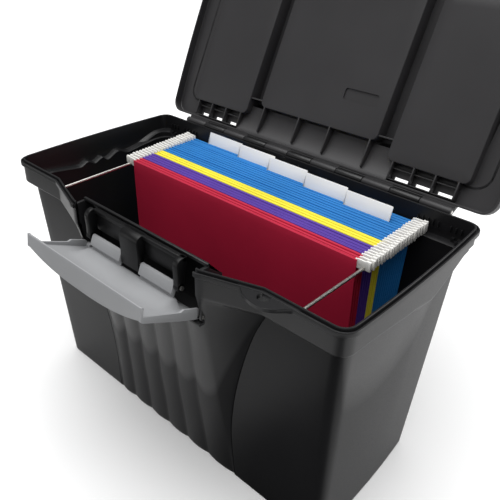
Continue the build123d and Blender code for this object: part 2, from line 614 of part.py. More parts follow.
def make_door():
    """Right organiser door in its closed place, with a barrel along its back edge."""
    x0 = TRAY_INNER - DOOR_OVERLAP
    x1 = TRAY_OUTER + DOOR_OVERLAP
    bottom = LID_TOP + DOOR_REST_GAP
    top = bottom + DOOR_SKIN
    door = rounded_block(x0, x1, TRAY_FRONT - DOOR_OVERLAP, TRAY_BACK + DOOR_OVERLAP, bottom, top, WELL_CORNER)
    b0 = TRAY_INNER + DOOR_LUG + DOOR_SIDE_GAP
    b1 = TRAY_OUTER - DOOR_LUG - DOOR_SIDE_GAP
    door += rod_x(DOOR_BARREL_RADIUS, b0, b1, DOOR_AXIS_Y, DOOR_AXIS_Z)
    front = DOOR_AXIS_Y - DOOR_BARREL_RADIUS
    door += prism([(front, DOOR_AXIS_Z), (front, bottom), (TRAY_BACK, bottom), (TRAY_BACK, top),
                   (DOOR_AXIS_Y - 0.5, top), (DOOR_AXIS_Y + 1.4, DOOR_AXIS_Z + 2)], b0, b1)
    return door - rod_x(DOOR_PIN_RADIUS + RUNNING_GAP, b0 - 1, b1 + 1, DOOR_AXIS_Y, DOOR_AXIS_Z)


def make_door_rod():
    return rod_x(DOOR_PIN_RADIUS, TRAY_INNER, TRAY_OUTER, DOOR_AXIS_Y, DOOR_AXIS_Z)


def make_handle():
    """Carry handle folded towards the front in the console."""
    low = HANDLE_AXIS_Z - HANDLE_THICKNESS / 2
    high = HANDLE_AXIS_Z + HANDLE_THICKNESS / 2
    arm_in = HANDLE_ARM_HALF - HANDLE_ARM_WIDTH / 2
    arm_out = HANDLE_ARM_HALF + HANDLE_ARM_WIDTH / 2
    front = HANDLE_AXIS_Y - HANDLE_LENGTH
    handle = rounded_block(-arm_out, arm_out, front - HANDLE_BAR / 2, front + HANDLE_BAR / 2, low, high, 4)
    arm = block(arm_in, arm_out, front, HANDLE_AXIS_Y, low, high)
    arm += rod_x(HANDLE_THICKNESS / 2, arm_in, arm_out, HANDLE_AXIS_Y, HANDLE_AXIS_Z)
    handle += both_sides(arm)
    return handle - rod_x(HANDLE_PIN_RADIUS + RUNNING_GAP, -arm_out - 1, arm_out + 1, HANDLE_AXIS_Y, HANDLE_AXIS_Z)


def make_handle_pins():
    start = HANDLE_ARM_HALF - HANDLE_ARM_WIDTH / 2
    pin = rod_x(HANDLE_PIN_RADIUS, start, CONSOLE_HALF - WELL_WALL, HANDLE_AXIS_Y, HANDLE_AXIS_Z)
    return [pin, mirror(pin, about=Plane.YZ)]


# ---- latch -------------------------------------------------------------------------
def flap_point(up, inward):
    """(Y, Z) of a point of the upright flap."""
    return FLAP_AXIS_Y + inward, FLAP_AXIS_Z + up


def dome_strip(up, depth, wall):
    """Level section of the flap's face, domed outwards by depth."""
    half = FLAP_HALF_WIDTH
    y, z = flap_point(up, FLAP_FACE)
    face = make_face([
        ThreePointArc((-half, y), (0, y - depth), (half, y)),
        Line((half, y), (half, y + wall)),
        ThreePointArc((half, y + wall), (0, y + wall - depth), (-half, y + wall)),
        Line((-half, y + wall), (-half, y)),
    ])
    return at(face, z)


def make_flap():
    """Latch flap, upright, its outer face towards the front."""
    top = FLAP_LENGTH
    flap = loft([dome_strip(-FLAP_HEEL, 0.4, FLAP_WALL), dome_strip(top, FLAP_DOME, FLAP_WALL)], ruled=True)
    half = FLAP_HALF_WIDTH
    side = prism([flap_point(-FLAP_HEEL, FLAP_FACE), flap_point(top, FLAP_FACE), flap_point(top, LIP_HEIGHT),
                  flap_point(top - LIP_PLATE, LIP_HEIGHT), flap_point(top - 9, FLAP_EDGE),
                  flap_point(FLAP_STEP_END, FLAP_EDGE), flap_point(FLAP_STEP_END - 4, FLAP_EDGE + FLAP_STEP),
                  flap_point(4, FLAP_EDGE + FLAP_STEP), flap_point(-FLAP_HEEL, 3.2)], half - FLAP_WALL, half)
    flap += both_sides(side)
    y, z = flap_point(top - LIP_PLATE, FLAP_FACE)
    lip = make_face([
        ThreePointArc((-half, y), (0, y - FLAP_DOME), (half, y)),
        Line((half, y), (half, y - FLAP_FACE + LIP_HEIGHT)),
        Line((half, y - FLAP_FACE + LIP_HEIGHT), (-half, y - FLAP_FACE + LIP_HEIGHT)),
        Line((-half, y - FLAP_FACE + LIP_HEIGHT), (-half, y)),
    ])
    flap += extrude(at(lip, z), LIP_PLATE)
    flap += both_sides(rod_x(BOSS_RADIUS, half - BOSS_WIDTH, half, FLAP_AXIS_Y, FLAP_AXIS_Z))
    pin_y, pin_z = flap_point(YOKE_AXIS_UP, YOKE_AXIS_IN)
    leaf = block(LEAF_INNER, LEAF_OUTER, FLAP_AXIS_Y + FLAP_FACE + 0.5, pin_y, pin_z - LEAF_RADIUS + 0.4,
                 pin_z + LEAF_RADIUS - 0.4)
    leaf += rod_x(LEAF_RADIUS, LEAF_INNER, LEAF_OUTER, pin_y, pin_z)
    flap += both_sides(leaf)
    flap -= rod_x(YOKE_PIN_RADIUS, -LEAF_OUTER - 1, LEAF_OUTER + 1, pin_y, pin_z)
    bore = rod_x(FLAP_PIN_RADIUS + RUNNING_GAP, half - BOSS_WIDTH - 1, half + 1, FLAP_AXIS_Y, FLAP_AXIS_Z)
    return flap - both_sides(bore)


def yoke_axis():
    """(Y, Z) of the yoke's pin with the flap open."""
    tilt = math.radians(FLAP_OPEN_TILT)
    return (FLAP_AXIS_Y - YOKE_AXIS_UP * math.sin(tilt) + YOKE_AXIS_IN * math.cos(tilt),
            FLAP_AXIS_Z + YOKE_AXIS_UP * math.cos(tilt) + YOKE_AXIS_IN * math.sin(tilt))


def make_yoke():
    """Bail with two cheeks, a middle finger and a top bar, upright beside the rim."""
    y, z = yoke_axis()
    outline = [(YOKE_FRONT + 0.2, z - 1), (YOKE_FRONT + 0.8, YOKE_TOP - 8), (YOKE_FRONT + 3.0, YOKE_TOP - 2.4),
               (YOKE_FRONT + 6.5, YOKE_TOP), (YOKE_BACK, YOKE_TOP), (YOKE_BACK, YOKE_TOP - YOKE_BAR_HEIGHT),
               (YOKE_BACK - 2.5, YOKE_TOP - 12), (y + YOKE_KNUCKLE - 0.3, z)]
    half = YOKE_HALF_WIDTH
    cheek = prism(outline, half - YOKE_CHEEK, half) + rod_x(YOKE_KNUCKLE, half - YOKE_CHEEK, half, y, z)
    finger = prism(outline, -YOKE_FINGER_HALF, YOKE_FINGER_HALF)
    finger += rod_x(YOKE_KNUCKLE, -YOKE_FINGER_HALF, YOKE_FINGER_HALF, y, z)
    finger += prism([(YOKE_FRONT + 0.2, z - 1), (y + 2.5, z - 1), (y - 1.5, z - 7.0), (YOKE_FRONT + 0.4, z - 7.0)],
                    -YOKE_FINGER_HALF, YOKE_FINGER_HALF)
    bar = block(-half, half, YOKE_BAR_FRONT, YOKE_BACK, YOKE_TOP - YOKE_BAR_HEIGHT, YOKE_TOP)
    yoke = both_sides(cheek) + finger + bar
    return yoke - rod_x(YOKE_PIN_RADIUS + RUNNING_GAP, -half - 1, half + 1, y, z)


def make_yoke_pin():
    y, z = yoke_axis()
    half = YOKE_HALF_WIDTH + 0.3
    pin = rod_x(YOKE_PIN_RADIUS, -half, half, y, z)
    return pin + both_sides(rod_x(YOKE_PIN_HEAD_RADIUS, half, half + YOKE_PIN_HEAD, y, z))


def make_flap_pins():
    start = FLAP_HALF_WIDTH - BOSS_WIDTH
    pin = rod_x(FLAP_PIN_RADIUS, start, RECESS_HALF + CHEEK_THICKNESS, FLAP_AXIS_Y, FLAP_AXIS_Z)
    return [pin, mirror(pin, about=Plane.YZ)]


# ---- write the nodes ---------------------------------------------------------------
write("tub", make_tub())
write("hinge_rod", rod_x(HINGE_ROD_RADIUS, -HINGE_HALF_LENGTH, HINGE_HALF_LENGTH, HINGE_Y, HINGE_Z))
rails = make_rails()
write("rail_left", rails[0])
write("rail_right", rails[1])

first = 0
for colour, count in FOLDER_COUNTS:
    members = range(first, first + count)
    write(f"{colour}_folders", [folder(i) for i in members])
    write(f"{colour}_hangers", [hanger(i) for i in members])
    first += count
for number, (centre, index) in enumerate(zip(TAB_CENTRES, TAB_FOLDERS), start=1):
    write(f"index_tab_{number}", tab(centre, index + first - FOLDER_COUNTS[-1][1]))

door = make_door()
door_rod = make_door_rod()
lid_pieces = {
    "lid": make_lid(),
    "organizer_door_right": door,
    "organizer_door_left": mirror(door, about=Plane.YZ),
    "door_rod_right": door_rod,
    "door_rod_left": mirror(door_rod, about=Plane.YZ),
    "carry_handle": make_handle(),
}
for name, shape in lid_pieces.items():
    write(name, turned(shape, HINGE_Y, HINGE_Z, -LID_OPEN_ANGLE))
write("handle_pins", [turned(pin, HINGE_Y, HINGE_Z, -LID_OPEN_ANGLE) for pin in make_handle_pins()])

write("latch_flap", turned(make_flap(), FLAP_AXIS_Y, FLAP_AXIS_Z, FLAP_OPEN_TILT))
write("latch_yoke", make_yoke())
write("latch_pin", make_yoke_pin())
write("flap_pivot_pins", make_flap_pins())
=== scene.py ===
import logging
import math
import random
from dataclasses import dataclass, field
from enum import Enum
from typing import Callable, Iterable, Sequence

import bmesh
import bpy
from mathutils import Matrix, Vector


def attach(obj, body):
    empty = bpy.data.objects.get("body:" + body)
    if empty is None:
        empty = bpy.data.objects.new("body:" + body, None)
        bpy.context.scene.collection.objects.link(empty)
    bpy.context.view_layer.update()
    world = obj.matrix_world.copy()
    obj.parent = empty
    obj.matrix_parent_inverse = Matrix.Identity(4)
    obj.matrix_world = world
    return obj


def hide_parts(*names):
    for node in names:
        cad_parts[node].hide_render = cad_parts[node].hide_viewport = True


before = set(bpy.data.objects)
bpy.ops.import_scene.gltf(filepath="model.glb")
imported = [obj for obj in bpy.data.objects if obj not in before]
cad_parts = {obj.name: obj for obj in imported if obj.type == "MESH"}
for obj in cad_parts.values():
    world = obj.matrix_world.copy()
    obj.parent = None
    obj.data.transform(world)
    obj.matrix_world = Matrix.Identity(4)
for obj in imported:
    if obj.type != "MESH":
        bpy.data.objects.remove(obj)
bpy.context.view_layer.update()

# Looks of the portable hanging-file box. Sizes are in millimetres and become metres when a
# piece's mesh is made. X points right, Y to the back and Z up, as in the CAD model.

log = logging.getLogger("file_box")
MM = 0.001
BLEND = 2.0 * MM    # run over which one sheen goes into another
HINGE_AXIS = (109.0, 258.2)    # Y and Z of the lid's hinge
HINGE_LENGTH = 352.0
HINGE_PARTS = 11
Point = tuple[float, float, float]
Flat = tuple[float, float]
Piece = bpy.types.Object
Material = bpy.types.Material
Socket = bpy.types.NodeSocket


# ------------------------------------------------------------------ choices

class Side(Enum):
    """Side of the box, as a factor for X."""

    LEFT = -1
    RIGHT = 1


class Stock(Enum):
    """Card colours of the folder groups: name, linear colour and number of folders."""

    RED = ("red", (0.52, 0.012, 0.05), 3)
    PURPLE = ("purple", (0.105, 0.045, 0.36), 4)
    YELLOW = ("yellow", (0.93, 0.80, 0.055), 3)
    BLUE = ("blue", (0.016, 0.205, 0.56), 12)


# ------------------------------------------------------------------ node trees

class Nodes:
    """Fills one node tree."""

    def __init__(self, tree: bpy.types.NodeTree) -> None:
        """Take the tree."""
        self.tree = tree

    @classmethod
    def group(cls, name: str, family: str, inputs: dict[str, float | str], outputs: dict[str, str]) -> "Nodes":
        """Start a node group.

        Args:
            name: Group name.
            family: Kind of tree.
            inputs: Default of each number input, or the type of any other.
            outputs: Type of each output.

        Returns:
            The group's nodes, with its inputs as start.
        """
        nodes = cls(bpy.data.node_groups.new(name, f"{family}NodeTree"))
        sockets = nodes.tree.interface
        for label, value in inputs.items():
            kind = value if isinstance(value, str) else "Float"
            socket = sockets.new_socket(label, in_out="INPUT", socket_type=f"NodeSocket{kind}")
            if kind == "Float":
                socket.default_value = value
        for label, kind in outputs.items():
            sockets.new_socket(label, in_out="OUTPUT", socket_type=f"NodeSocket{kind}")
        nodes.start = nodes.tree.nodes.new("NodeGroupInput").outputs
        return nodes

    def end(self, **outputs: Socket) -> bpy.types.NodeTree:
        """Link the group's outputs and give its tree."""
        self.add("NodeGroupOutput", outputs)
        return self.tree

    def fill(self, node: bpy.types.Node, inputs: dict) -> bpy.types.Node:
        """Set or link a node's inputs.

        Args:
            node: The node.
            inputs: Values, or sockets to link, by input name or number.

        Returns:
            The node.
        """
        for key, value in inputs.items():
            if isinstance(value, Socket):
                self.tree.links.new(value, node.inputs[key])
            else:
                node.inputs[key].default_value = value
        return node

    def add(self, kind: str, inputs: dict | None = None, **settings: object) -> bpy.types.Node:
        """Add a node.

        Args:
            kind: Node type.
            inputs: Its inputs, as in fill.
            **settings: Its properties.

        Returns:
            The node.
        """
        node = self.tree.nodes.new(kind)
        for name, value in settings.items():
            setattr(node, name, value)
        return self.fill(node, inputs or {})

    def out(self, output: str | int, kind: str, inputs: dict | None = None, **settings: object) -> Socket:
        """Add a node as add does, and give one of its outputs."""
        return self.add(kind, inputs, **settings).outputs[output]

    def shared(self, tree: bpy.types.NodeTree, **values: float) -> bpy.types.bpy_prop_collection:
        """Outputs of a shared group, whose inputs are given by name."""
        return self.add("ShaderNodeGroup", values, node_tree=tree).outputs

    def place(self) -> Socket:
        """Place on the object."""
        return self.out("Object", "ShaderNodeTexCoord")

    def maths(self, operation: str, *values: float | Socket) -> Socket:
        """Result of an operation on numbers or sockets."""
        return self.out(0, "ShaderNodeMath", dict(enumerate(values)), operation=operation)

    def ranged(self, value: Socket, low: float | Socket, high: float | Socket, start: float = 0.0,
               end: float = 1.0) -> Socket:
        """Number that goes from low to high as value goes from start to end."""
        limits = {"Value": value, "From Min": start, "From Max": end, "To Min": low, "To Max": high}
        return self.out("Result", "ShaderNodeMapRange", limits)

    def between(self, value: Socket, low: Sequence[float] | Socket, high: Sequence[float]) -> Socket:
        """Colour that goes from low, which may be a socket, to high with a 0 to 1 value."""
        low = low if isinstance(low, Socket) else (*low, 1.0)
        return self.out("Result", "ShaderNodeMix", {"Factor": value, "A": low, "B": (*high, 1.0)}, data_type="RGBA")


class ShaderGroups:
    """Node groups that the finishes share, each built once."""

    def __init__(self) -> None:
        """Build the groups."""
        self.grain = self._grain()
        self.mottle = self._mottle()
        self.fibre = self._fibre()

    @staticmethod
    def _grain() -> bpy.types.NodeTree:
        """Spark-eroded mould grain: a normal and a mask that breaks up the roughness.

        Returns:
            The group.
        """
        nodes = Nodes.group("mould grain", "Shader", {"Scale": 1500.0, "Depth": 0.2},
                            {"Normal": "Vector", "Mask": "Float"})
        place, scale = nodes.place(), nodes.start["Scale"]
        noise = nodes.out("Fac", "ShaderNodeTexNoise", {"Vector": place, "Scale": scale, "Detail": 3.0})
        cells = nodes.out("Distance", "ShaderNodeTexVoronoi",
                          {"Vector": place, "Scale": nodes.maths("MULTIPLY", scale, 0.55)})
        mask = nodes.maths("MULTIPLY_ADD", cells, 0.5, noise)
        normal = nodes.out("Normal", "ShaderNodeBump",
                           {"Height": mask, "Strength": nodes.start["Depth"], "Distance": 0.00015})
        return nodes.end(Normal=normal, Mask=mask)

    @staticmethod
    def _mottle() -> bpy.types.NodeTree:
        """Broad soft patches, such as flow marks, handling and dust.

        Returns:
            The group.
        """
        nodes = Nodes.group("mottle", "Shader", {"Scale": 14.0, "Low": 0.0, "High": 1.0}, {"Value": "Float"})
        start = nodes.start
        noise = nodes.out("Fac", "ShaderNodeTexNoise",
                          {"Vector": nodes.place(), "Scale": start["Scale"], "Detail": 4.0})
        return nodes.end(Value=nodes.ranged(noise, start["Low"], start["High"], 0.3, 0.7))

    @staticmethod
    def _fibre() -> bpy.types.NodeTree:
        """Fine directional fibre of card or drawn metal along X.

        Returns:
            The group.
        """
        nodes = Nodes.group("fibre", "Shader", {"Along": 60.0, "Across": 1400.0, "Depth": 0.15},
                            {"Value": "Float", "Normal": "Vector"})
        across = nodes.start["Across"]
        stretch = nodes.out("Vector", "ShaderNodeCombineXYZ", {"X": nodes.start["Along"], "Y": across, "Z": across})
        scaled = nodes.out("Vector", "ShaderNodeVectorMath", {0: nodes.place(), 1: stretch}, operation="MULTIPLY")
        value = nodes.out("Fac", "ShaderNodeTexNoise", {"Vector": scaled, "Scale": 1.0, "Detail": 3.0})
        normal = nodes.out("Normal", "ShaderNodeBump",
                           {"Height": value, "Strength": nodes.start["Depth"], "Distance": 0.0001})
        return nodes.end(Value=value, Normal=normal)


GROUPS = ShaderGroups()


# ------------------------------------------------------------------ finishes

@dataclass(frozen=True)
class Finish:
    """Name, linear colour and roughness of a surface."""

    name: str
    colour: Point
    roughness: float

    def inputs(self, nodes: Nodes) -> dict:
        """Inputs of the surface shader, by name, which each kind of finish gives."""
        raise NotImplementedError

    def material(self) -> Material:
        """Build the material.

        Returns:
            The material.
        """
        made = bpy.data.materials.new(self.name)
        made.use_nodes = True
        nodes = Nodes(made.node_tree)
        nodes.fill(made.node_tree.nodes["Principled BSDF"], self.inputs(nodes))
        return made


@dataclass(frozen=True)
class MouldedPlastic(Finish):
    """Injection-moulded plastic with mould grain and a slightly uneven sheen; inside given bounds the sheen is lowered
    as painted shade.
    """

    roughness: float = 0.45
    spread: float = 0.05
    tint: float = 0.12
    scale: float = 1500.0
    depth: float = 0.25
    specular: float = 0.5
    bounds: Point | None = None
    # inside the bounds the sheen drops to this share, as painted shade
    shaded: float = 0.3    # share of the sheen that is left inside the bounds

    def sheen_with_painted_shade(self, nodes: Nodes) -> Socket:
        """Sheen that is lower inside the bounds, as painted shade: half width, front and back.

        Args:
            nodes: Nodes of the material.

        Returns:
            The specular level.
        """
        half, front, back = (value * MM for value in self.bounds)
        split = nodes.add("ShaderNodeSeparateXYZ", {"Vector": nodes.place()}).outputs
        wide = nodes.ranged(nodes.maths("ABSOLUTE", split["X"]), 0.0, 1.0, half, half + BLEND)
        outside = nodes.maths("MAXIMUM", wide, nodes.ranged(split["Y"], 1.0, 0.0, front - BLEND, front))
        outside = nodes.maths("MAXIMUM", outside, nodes.ranged(split["Y"], 0.0, 1.0, back, back + BLEND))
        return nodes.ranged(outside, self.shaded * self.specular, self.specular)

    def inputs(self, nodes: Nodes) -> dict:
        """Inputs of the surface shader.

        Args:
            nodes: Nodes of the material.

        Returns:
            The inputs, by name.
        """
        grain = nodes.shared(GROUPS.grain, Scale=self.scale, Depth=self.depth)
        mottle = nodes.shared(GROUPS.mottle, Scale=11.0, Low=0.0, High=1.0)
        low, high = ([c * (1.0 + tint) for c in self.colour] for tint in (-self.tint, self.tint))
        # with bounds, the sheen inside them is lowered as painted shade
        return {"Base Color": nodes.between(mottle["Value"], low, high),
                "Roughness": nodes.ranged(grain["Mask"], self.roughness - self.spread,
                                          self.roughness + self.spread, 0.3, 1.0),
                "Normal": grain["Normal"],
                "Specular IOR Level": self.sheen_with_painted_shade(nodes) if self.bounds else self.specular}


@dataclass(frozen=True)
class CardStock(Finish):
    """Dyed pressboard with paper fibre and slightly rubbed patches."""

    roughness: float = 0.62

    def inputs(self, nodes: Nodes) -> dict:
        """Inputs of the surface shader.

        Args:
            nodes: Nodes of the material.

        Returns:
            The inputs, by name.
        """
        fibre = nodes.shared(GROUPS.fibre, Along=150.0, Across=900.0, Depth=0.3)
        mottle = nodes.shared(GROUPS.mottle, Scale=9.0, Low=0.0, High=1.0)
        patches = nodes.maths("MULTIPLY", mottle["Value"], 0.55)
        blend = nodes.maths("MULTIPLY_ADD", fibre["Value"], 0.45, patches)
        low, high = [c * 0.82 for c in self.colour], [min(1.0, c * 1.14 + 0.003) for c in self.colour]
        return {"Base Color": nodes.between(blend, low, high),
                "Roughness": nodes.ranged(fibre["Value"], self.roughness - 0.08, self.roughness + 0.08),
                "Normal": fibre["Normal"], "Specular IOR Level": 0.35}


@dataclass(frozen=True)
class DrawnSteel(Finish):
    """Bright drawn steel rod with fine drawing marks."""

    colour: Point = (0.78, 0.76, 0.72)
    roughness: float = 0.3

    def inputs(self, nodes: Nodes) -> dict:
        """Inputs of the surface shader.

        Args:
            nodes: Nodes of the material.

        Returns:
            The inputs, by name.
        """
        fibre = nodes.shared(GROUPS.fibre, Along=300.0, Across=300.0, Depth=0.2)
        mottle = nodes.shared(GROUPS.mottle, Scale=60.0, Low=0.0, High=1.0)
        return {"Base Color": nodes.between(mottle["Value"], [c * 0.9 for c in self.colour], self.colour),
                "Roughness": nodes.ranged(fibre["Value"], self.roughness - 0.1, self.roughness + 0.12),
                "Normal": fibre["Normal"], "Metallic": 1.0}


def built(finish: Finish) -> Material:
    """Palette field whose value is a finish's material."""
    return field(default_factory=finish.material)


@dataclass
class Palette:
    """Every finish of the box, built once."""

    # inside these bounds the tub's sheen is lowered as painted shade for the dark interior
    tub: Material = built(MouldedPlastic("black plastic of the tub", (0.0125, 0.0125, 0.0135), 0.32, depth=0.16,
                                         bounds=(202.5, -97.0, 98.0)))
    lid: Material = built(MouldedPlastic("black plastic of the lid", (0.031, 0.030, 0.032), 0.46, depth=0.22))
    latch_black: Material = built(MouldedPlastic("black plastic of the latch", (0.006, 0.006, 0.0065), 0.36,
                                                 depth=0.15, specular=0.3))
    latch_grey: Material = built(MouldedPlastic("silver-grey plastic", (0.33, 0.335, 0.345), 0.42, tint=0.05,
                                                depth=0.12))
    hanger: Material = built(MouldedPlastic("white plastic of the hangers", (0.84, 0.83, 0.80), 0.5, tint=0.04,
                                            depth=0.15))
    tab: Material = built(MouldedPlastic("white plastic of the tabs", (0.95, 0.94, 0.91), 0.42, tint=0.03,
                                         depth=0.08))
    steel: Material = built(DrawnSteel("drawn steel"))
    card: dict = field(default_factory=lambda: {
        stock: CardStock(f"{stock.value[0]} card", stock.value[1]).material() for stock in Stock})


PALETTE = Palette()


# ------------------------------------------------------------------ mesh tools

def stand(name: str, data: bpy.types.ID) -> Piece:
    """New object in the scene.

    Args:
        name: Its name.
        data: Its mesh, lamp or camera.

    Returns:
        The object.
    """
    made = bpy.data.objects.new(name, data)
    bpy.context.scene.collection.objects.link(made)
    return made


def circle(a: float, b: float, radius: float, sides: int) -> list[Flat]:
    """Round outline about a centre."""
    return [(a + radius * math.cos(math.tau * i / sides), b + radius * math.sin(math.tau * i / sides))
            for i in range(sides)]


class Shape:
    """Collects the faces of one piece in millimetres and makes its object in metres."""

    def __init__(self, name: str) -> None:
        """Start an empty shape.

        Args:
            name: Object name.
        """
        self.name = name
        self.points: list[Point] = []
        self.faces: list[tuple[int, ...]] = []

    def add(self, points: Iterable[Point], faces: Iterable[Sequence[int]]) -> "Shape":
        """Add loose geometry.

        Args:
            points: Points.
            faces: Faces that count from the first of these points.

        Returns:
            The shape.
        """
        start = len(self.points)
        self.points.extend(points)
        self.faces.extend(tuple(start + i for i in face) for face in faces)
        return self

    def rings(self, rings: Sequence[Sequence[Point]], cap_first: bool = False, cap_last: bool = False) -> "Shape":
        """Skin closed rings of equal length.

        Args:
            rings: Rings of points, in order.
            cap_first: Close the first ring with a face.
            cap_last: Close the last ring with a face.

        Returns:
            The shape.
        """
        count = len(rings[0])
        faces: list[tuple[int, ...]] = []
        for level in range(len(rings) - 1):
            low, high = level * count, (level + 1) * count
            faces.extend((low + i, low + (i + 1) % count, high + (i + 1) % count, high + i) for i in range(count))
        if cap_first:
            faces.append(tuple(reversed(range(count))))
        if cap_last:
            faces.append(tuple(range((len(rings) - 1) * count, len(rings) * count)))
        return self.add([p for ring in rings for p in ring], faces)

    def prism_x(self, outline: Sequence[Flat], x0: float, x1: float) -> "Shape":
        """Add a straight prism along X from a (Y, Z) outline."""
        return self.rings([[(x, y, z) for y, z in outline] for x in (x0, x1)], True, True)

    def prism_z(self, outline: Sequence[Flat], z0: float, z1: float) -> "Shape":
        """Add a straight prism along Z from an (X, Y) outline."""
        return self.rings([[(x, y, z) for x, y in outline] for z in (z0, z1)], True, True)

    def block(self, x0: float, x1: float, y0: float, y1: float, z0: float, z1: float) -> "Shape":
        """Add a box, given its limits."""
        return self.prism_z([(x0, y0), (x1, y0), (x1, y1), (x0, y1)], z0, z1)

    def rod_x(self, radius: float, x0: float, x1: float, y: float, z: float, sides: int = 28) -> "Shape":
        """Add a round rod along X with slightly rounded ends.

        Args:
            radius: Radius.
            x0: Start.
            x1: End.
            y: Axis Y.
            z: Axis Z.
            sides: Sides of the circle.

        Returns:
            The shape.
        """
        edge = min(0.3, radius * 0.3)
        stations = [(x0, radius - edge), (x0 + edge, radius), (x1 - edge, radius), (x1, radius - edge)]
        return self.rings([[(x, *p) for p in circle(y, z, r, sides)] for x, r in stations], True, True)

    def moved(self, change: Callable[[Point], Point]) -> "Shape":
        """Apply a change to every point collected so far."""
        self.points = [change(p) for p in self.points]
        return self

    def mirrored(self) -> "Shape":
        """Add the mirror image in the middle plane.

        Returns:
            The shape.
        """
        count = len(self.points)
        self.points.extend([(-x, y, z) for x, y, z in self.points])
        self.faces.extend([tuple(count + i for i in reversed(face)) for face in self.faces])
        return self

    def object(self, material: Material, bevel: float = 0.0, segments: int = 2,
               sharp: float = 40.0) -> Piece:
        """Make the object.

        Args:
            material: Its material.
            bevel: Width of the rounding on sharp edges, in millimetres.
            segments: Steps of the rounding.
            sharp: Edges sharper than this angle stay sharp in the shading.

        Returns:
            The object, with its place in its mesh.
        """
        mesh = bpy.data.meshes.new(self.name)
        mesh.from_pydata([[c * MM for c in p] for p in self.points], [], self.faces)
        work = bmesh.new()
        work.from_mesh(mesh)
        bmesh.ops.remove_doubles(work, verts=work.verts, dist=2e-6)
        bmesh.ops.recalc_face_normals(work, faces=work.faces)
        if bevel:
            edges = [e for e in work.edges if len(e.link_faces) == 2 and e.calc_face_angle(0.0) > math.radians(28)]
            bmesh.ops.bevel(work, geom=edges, offset=bevel * MM, segments=segments, profile=0.5, affect="EDGES",
                            clamp_overlap=True)
        work.to_mesh(mesh)
        work.free()
        made = stand(self.name, mesh)
        mesh.materials.append(material)
        shade(made, sharp)
        return made


def shade(piece: Piece, sharp: float) -> None:
    """Shade smooth, but keep edges sharper than an angle.

    Args:
        piece: The object.
        sharp: The angle in degrees.
    """
    work = bmesh.new()
    work.from_mesh(piece.data)
    for face in work.faces:
        face.smooth = True
    for edge in work.edges:
        edge.smooth = not (len(edge.link_faces) == 2 and edge.calc_face_angle(0.0) > math.radians(sharp))
    work.to_mesh(piece.data)
    work.free()


def flatten_modifiers(piece: Piece) -> Piece:
    """Turn the evaluated result of an object's modifiers into its plain mesh.

    Args:
        piece: The object.

    Returns:
        The object.
    """
    bpy.context.view_layer.update()
    graph = bpy.context.evaluated_depsgraph_get()
    result = bpy.data.meshes.new_from_object(piece.evaluated_get(graph))
    piece.modifiers.clear()
    piece.data = result
    return piece


def carve(piece: Piece, cutters: Sequence[Piece]) -> Piece:
    """Take cutters out of a closed piece.

    Args:
        piece: The piece.
        cutters: Closed objects, which are removed afterwards.

    Returns:
        The piece.
    """
    for cutter in cutters:
        step = piece.modifiers.new("cut", "BOOLEAN")
        step.operation = "DIFFERENCE"
        step.solver = "EXACT"
        step.object = cutter
        flatten_modifiers(piece)
    for cutter in cutters:
        bpy.data.objects.remove(cutter)
    return piece


def merge(name: str, pieces: Sequence[Piece]) -> Piece:
    """Join the meshes of several objects into one.

    Args:
        name: Name of the result.
        pieces: Objects, which are removed.

    Returns:
        The joined object.
    """
    work = bmesh.new()
    materials: list[Material] = []
    for piece in pieces:
        start = len(work.faces)
        work.from_mesh(piece.data)
        work.faces.ensure_lookup_table()
        if piece.data.materials[0] not in materials:
            materials.append(piece.data.materials[0])
        number = materials.index(piece.data.materials[0])
        for face in work.faces[start:]:
            face.material_index = number
    mesh = bpy.data.meshes.new(name)
    work.to_mesh(mesh)
    work.free()
    for material in materials:
        mesh.materials.append(material)
    made = stand(name, mesh)
    for piece in pieces:
        bpy.data.objects.remove(piece)
    return made


def through(heights: Sequence[float], values: Sequence[float], z: float) -> float:
    """Smooth curve through stations.

    Args:
        heights: Rising station heights.
        values: Values at them.
        z: Where to read it.

    Returns:
        The value.
    """
    z = min(max(z, heights[0]), heights[-1])
    i = max(k for k in range(len(heights) - 1) if heights[k] <= z or k == 0)

    def slope(k: int) -> float:
        """Slope at a station."""
        low, high = max(k - 1, 0), min(k + 1, len(heights) - 1)
        return (values[high] - values[low]) / (heights[high] - heights[low])

    run = heights[i + 1] - heights[i]
    t = (z - heights[i]) / run
    return ((2 * t ** 3 - 3 * t ** 2 + 1) * values[i] + (t ** 3 - 2 * t ** 2 + t) * run * slope(i)
            + (3 * t ** 2 - 2 * t ** 3) * values[i + 1] + (t ** 3 - t ** 2) * run * slope(i + 1))


def rounded_outline(x0: float, x1: float, y0: float, y1: float, radius: float, steps: int = 8) -> list[Flat]:
    """Rectangle with round corners, anticlockwise.

    Args:
        x0: Left.
        x1: Right.
        y0: Front.
        y1: Back.
        radius: Radius of the corners.
        steps: Steps of each corner.

    Returns:
        The outline.
    """
    centres = [(x1 - radius, y0 + radius, -90), (x1 - radius, y1 - radius, 0),
               (x0 + radius, y1 - radius, 90), (x0 + radius, y0 + radius, 180)]
    return [(cx + radius * math.cos(math.radians(a + 90 * i / steps)),
             cy + radius * math.sin(math.radians(a + 90 * i / steps)))
            for cx, cy, a in centres for i in range(steps + 1)]


def rounded_rings(limits: Sequence[float], radius: float, rows: Iterable[Flat]) -> list[list[Point]]:
    """Rings of a rectangle with round corners.

    Args:
        limits: x0, x1, y0, y1.
        radius: Radius of the corners.
        rows: Inset and height of each ring.

    Returns:
        The rings.
    """
    x0, x1, y0, y1 = limits
    return [[(x, y, z) for x, y in rounded_outline(x0 + inset, x1 - inset, y0 + inset, y1 - inset,
                                                   max(1.0, radius - inset))] for inset, z in rows]


def knuckle_spans(first: int) -> list[Flat]:
    """Ends of every second knuckle of the lid's hinge, from the given one on."""
    pitch = HINGE_LENGTH / HINGE_PARTS
    return [(i * pitch - 175.7, (i + 1) * pitch - 176.3) for i in range(first, HINGE_PARTS, 2)]


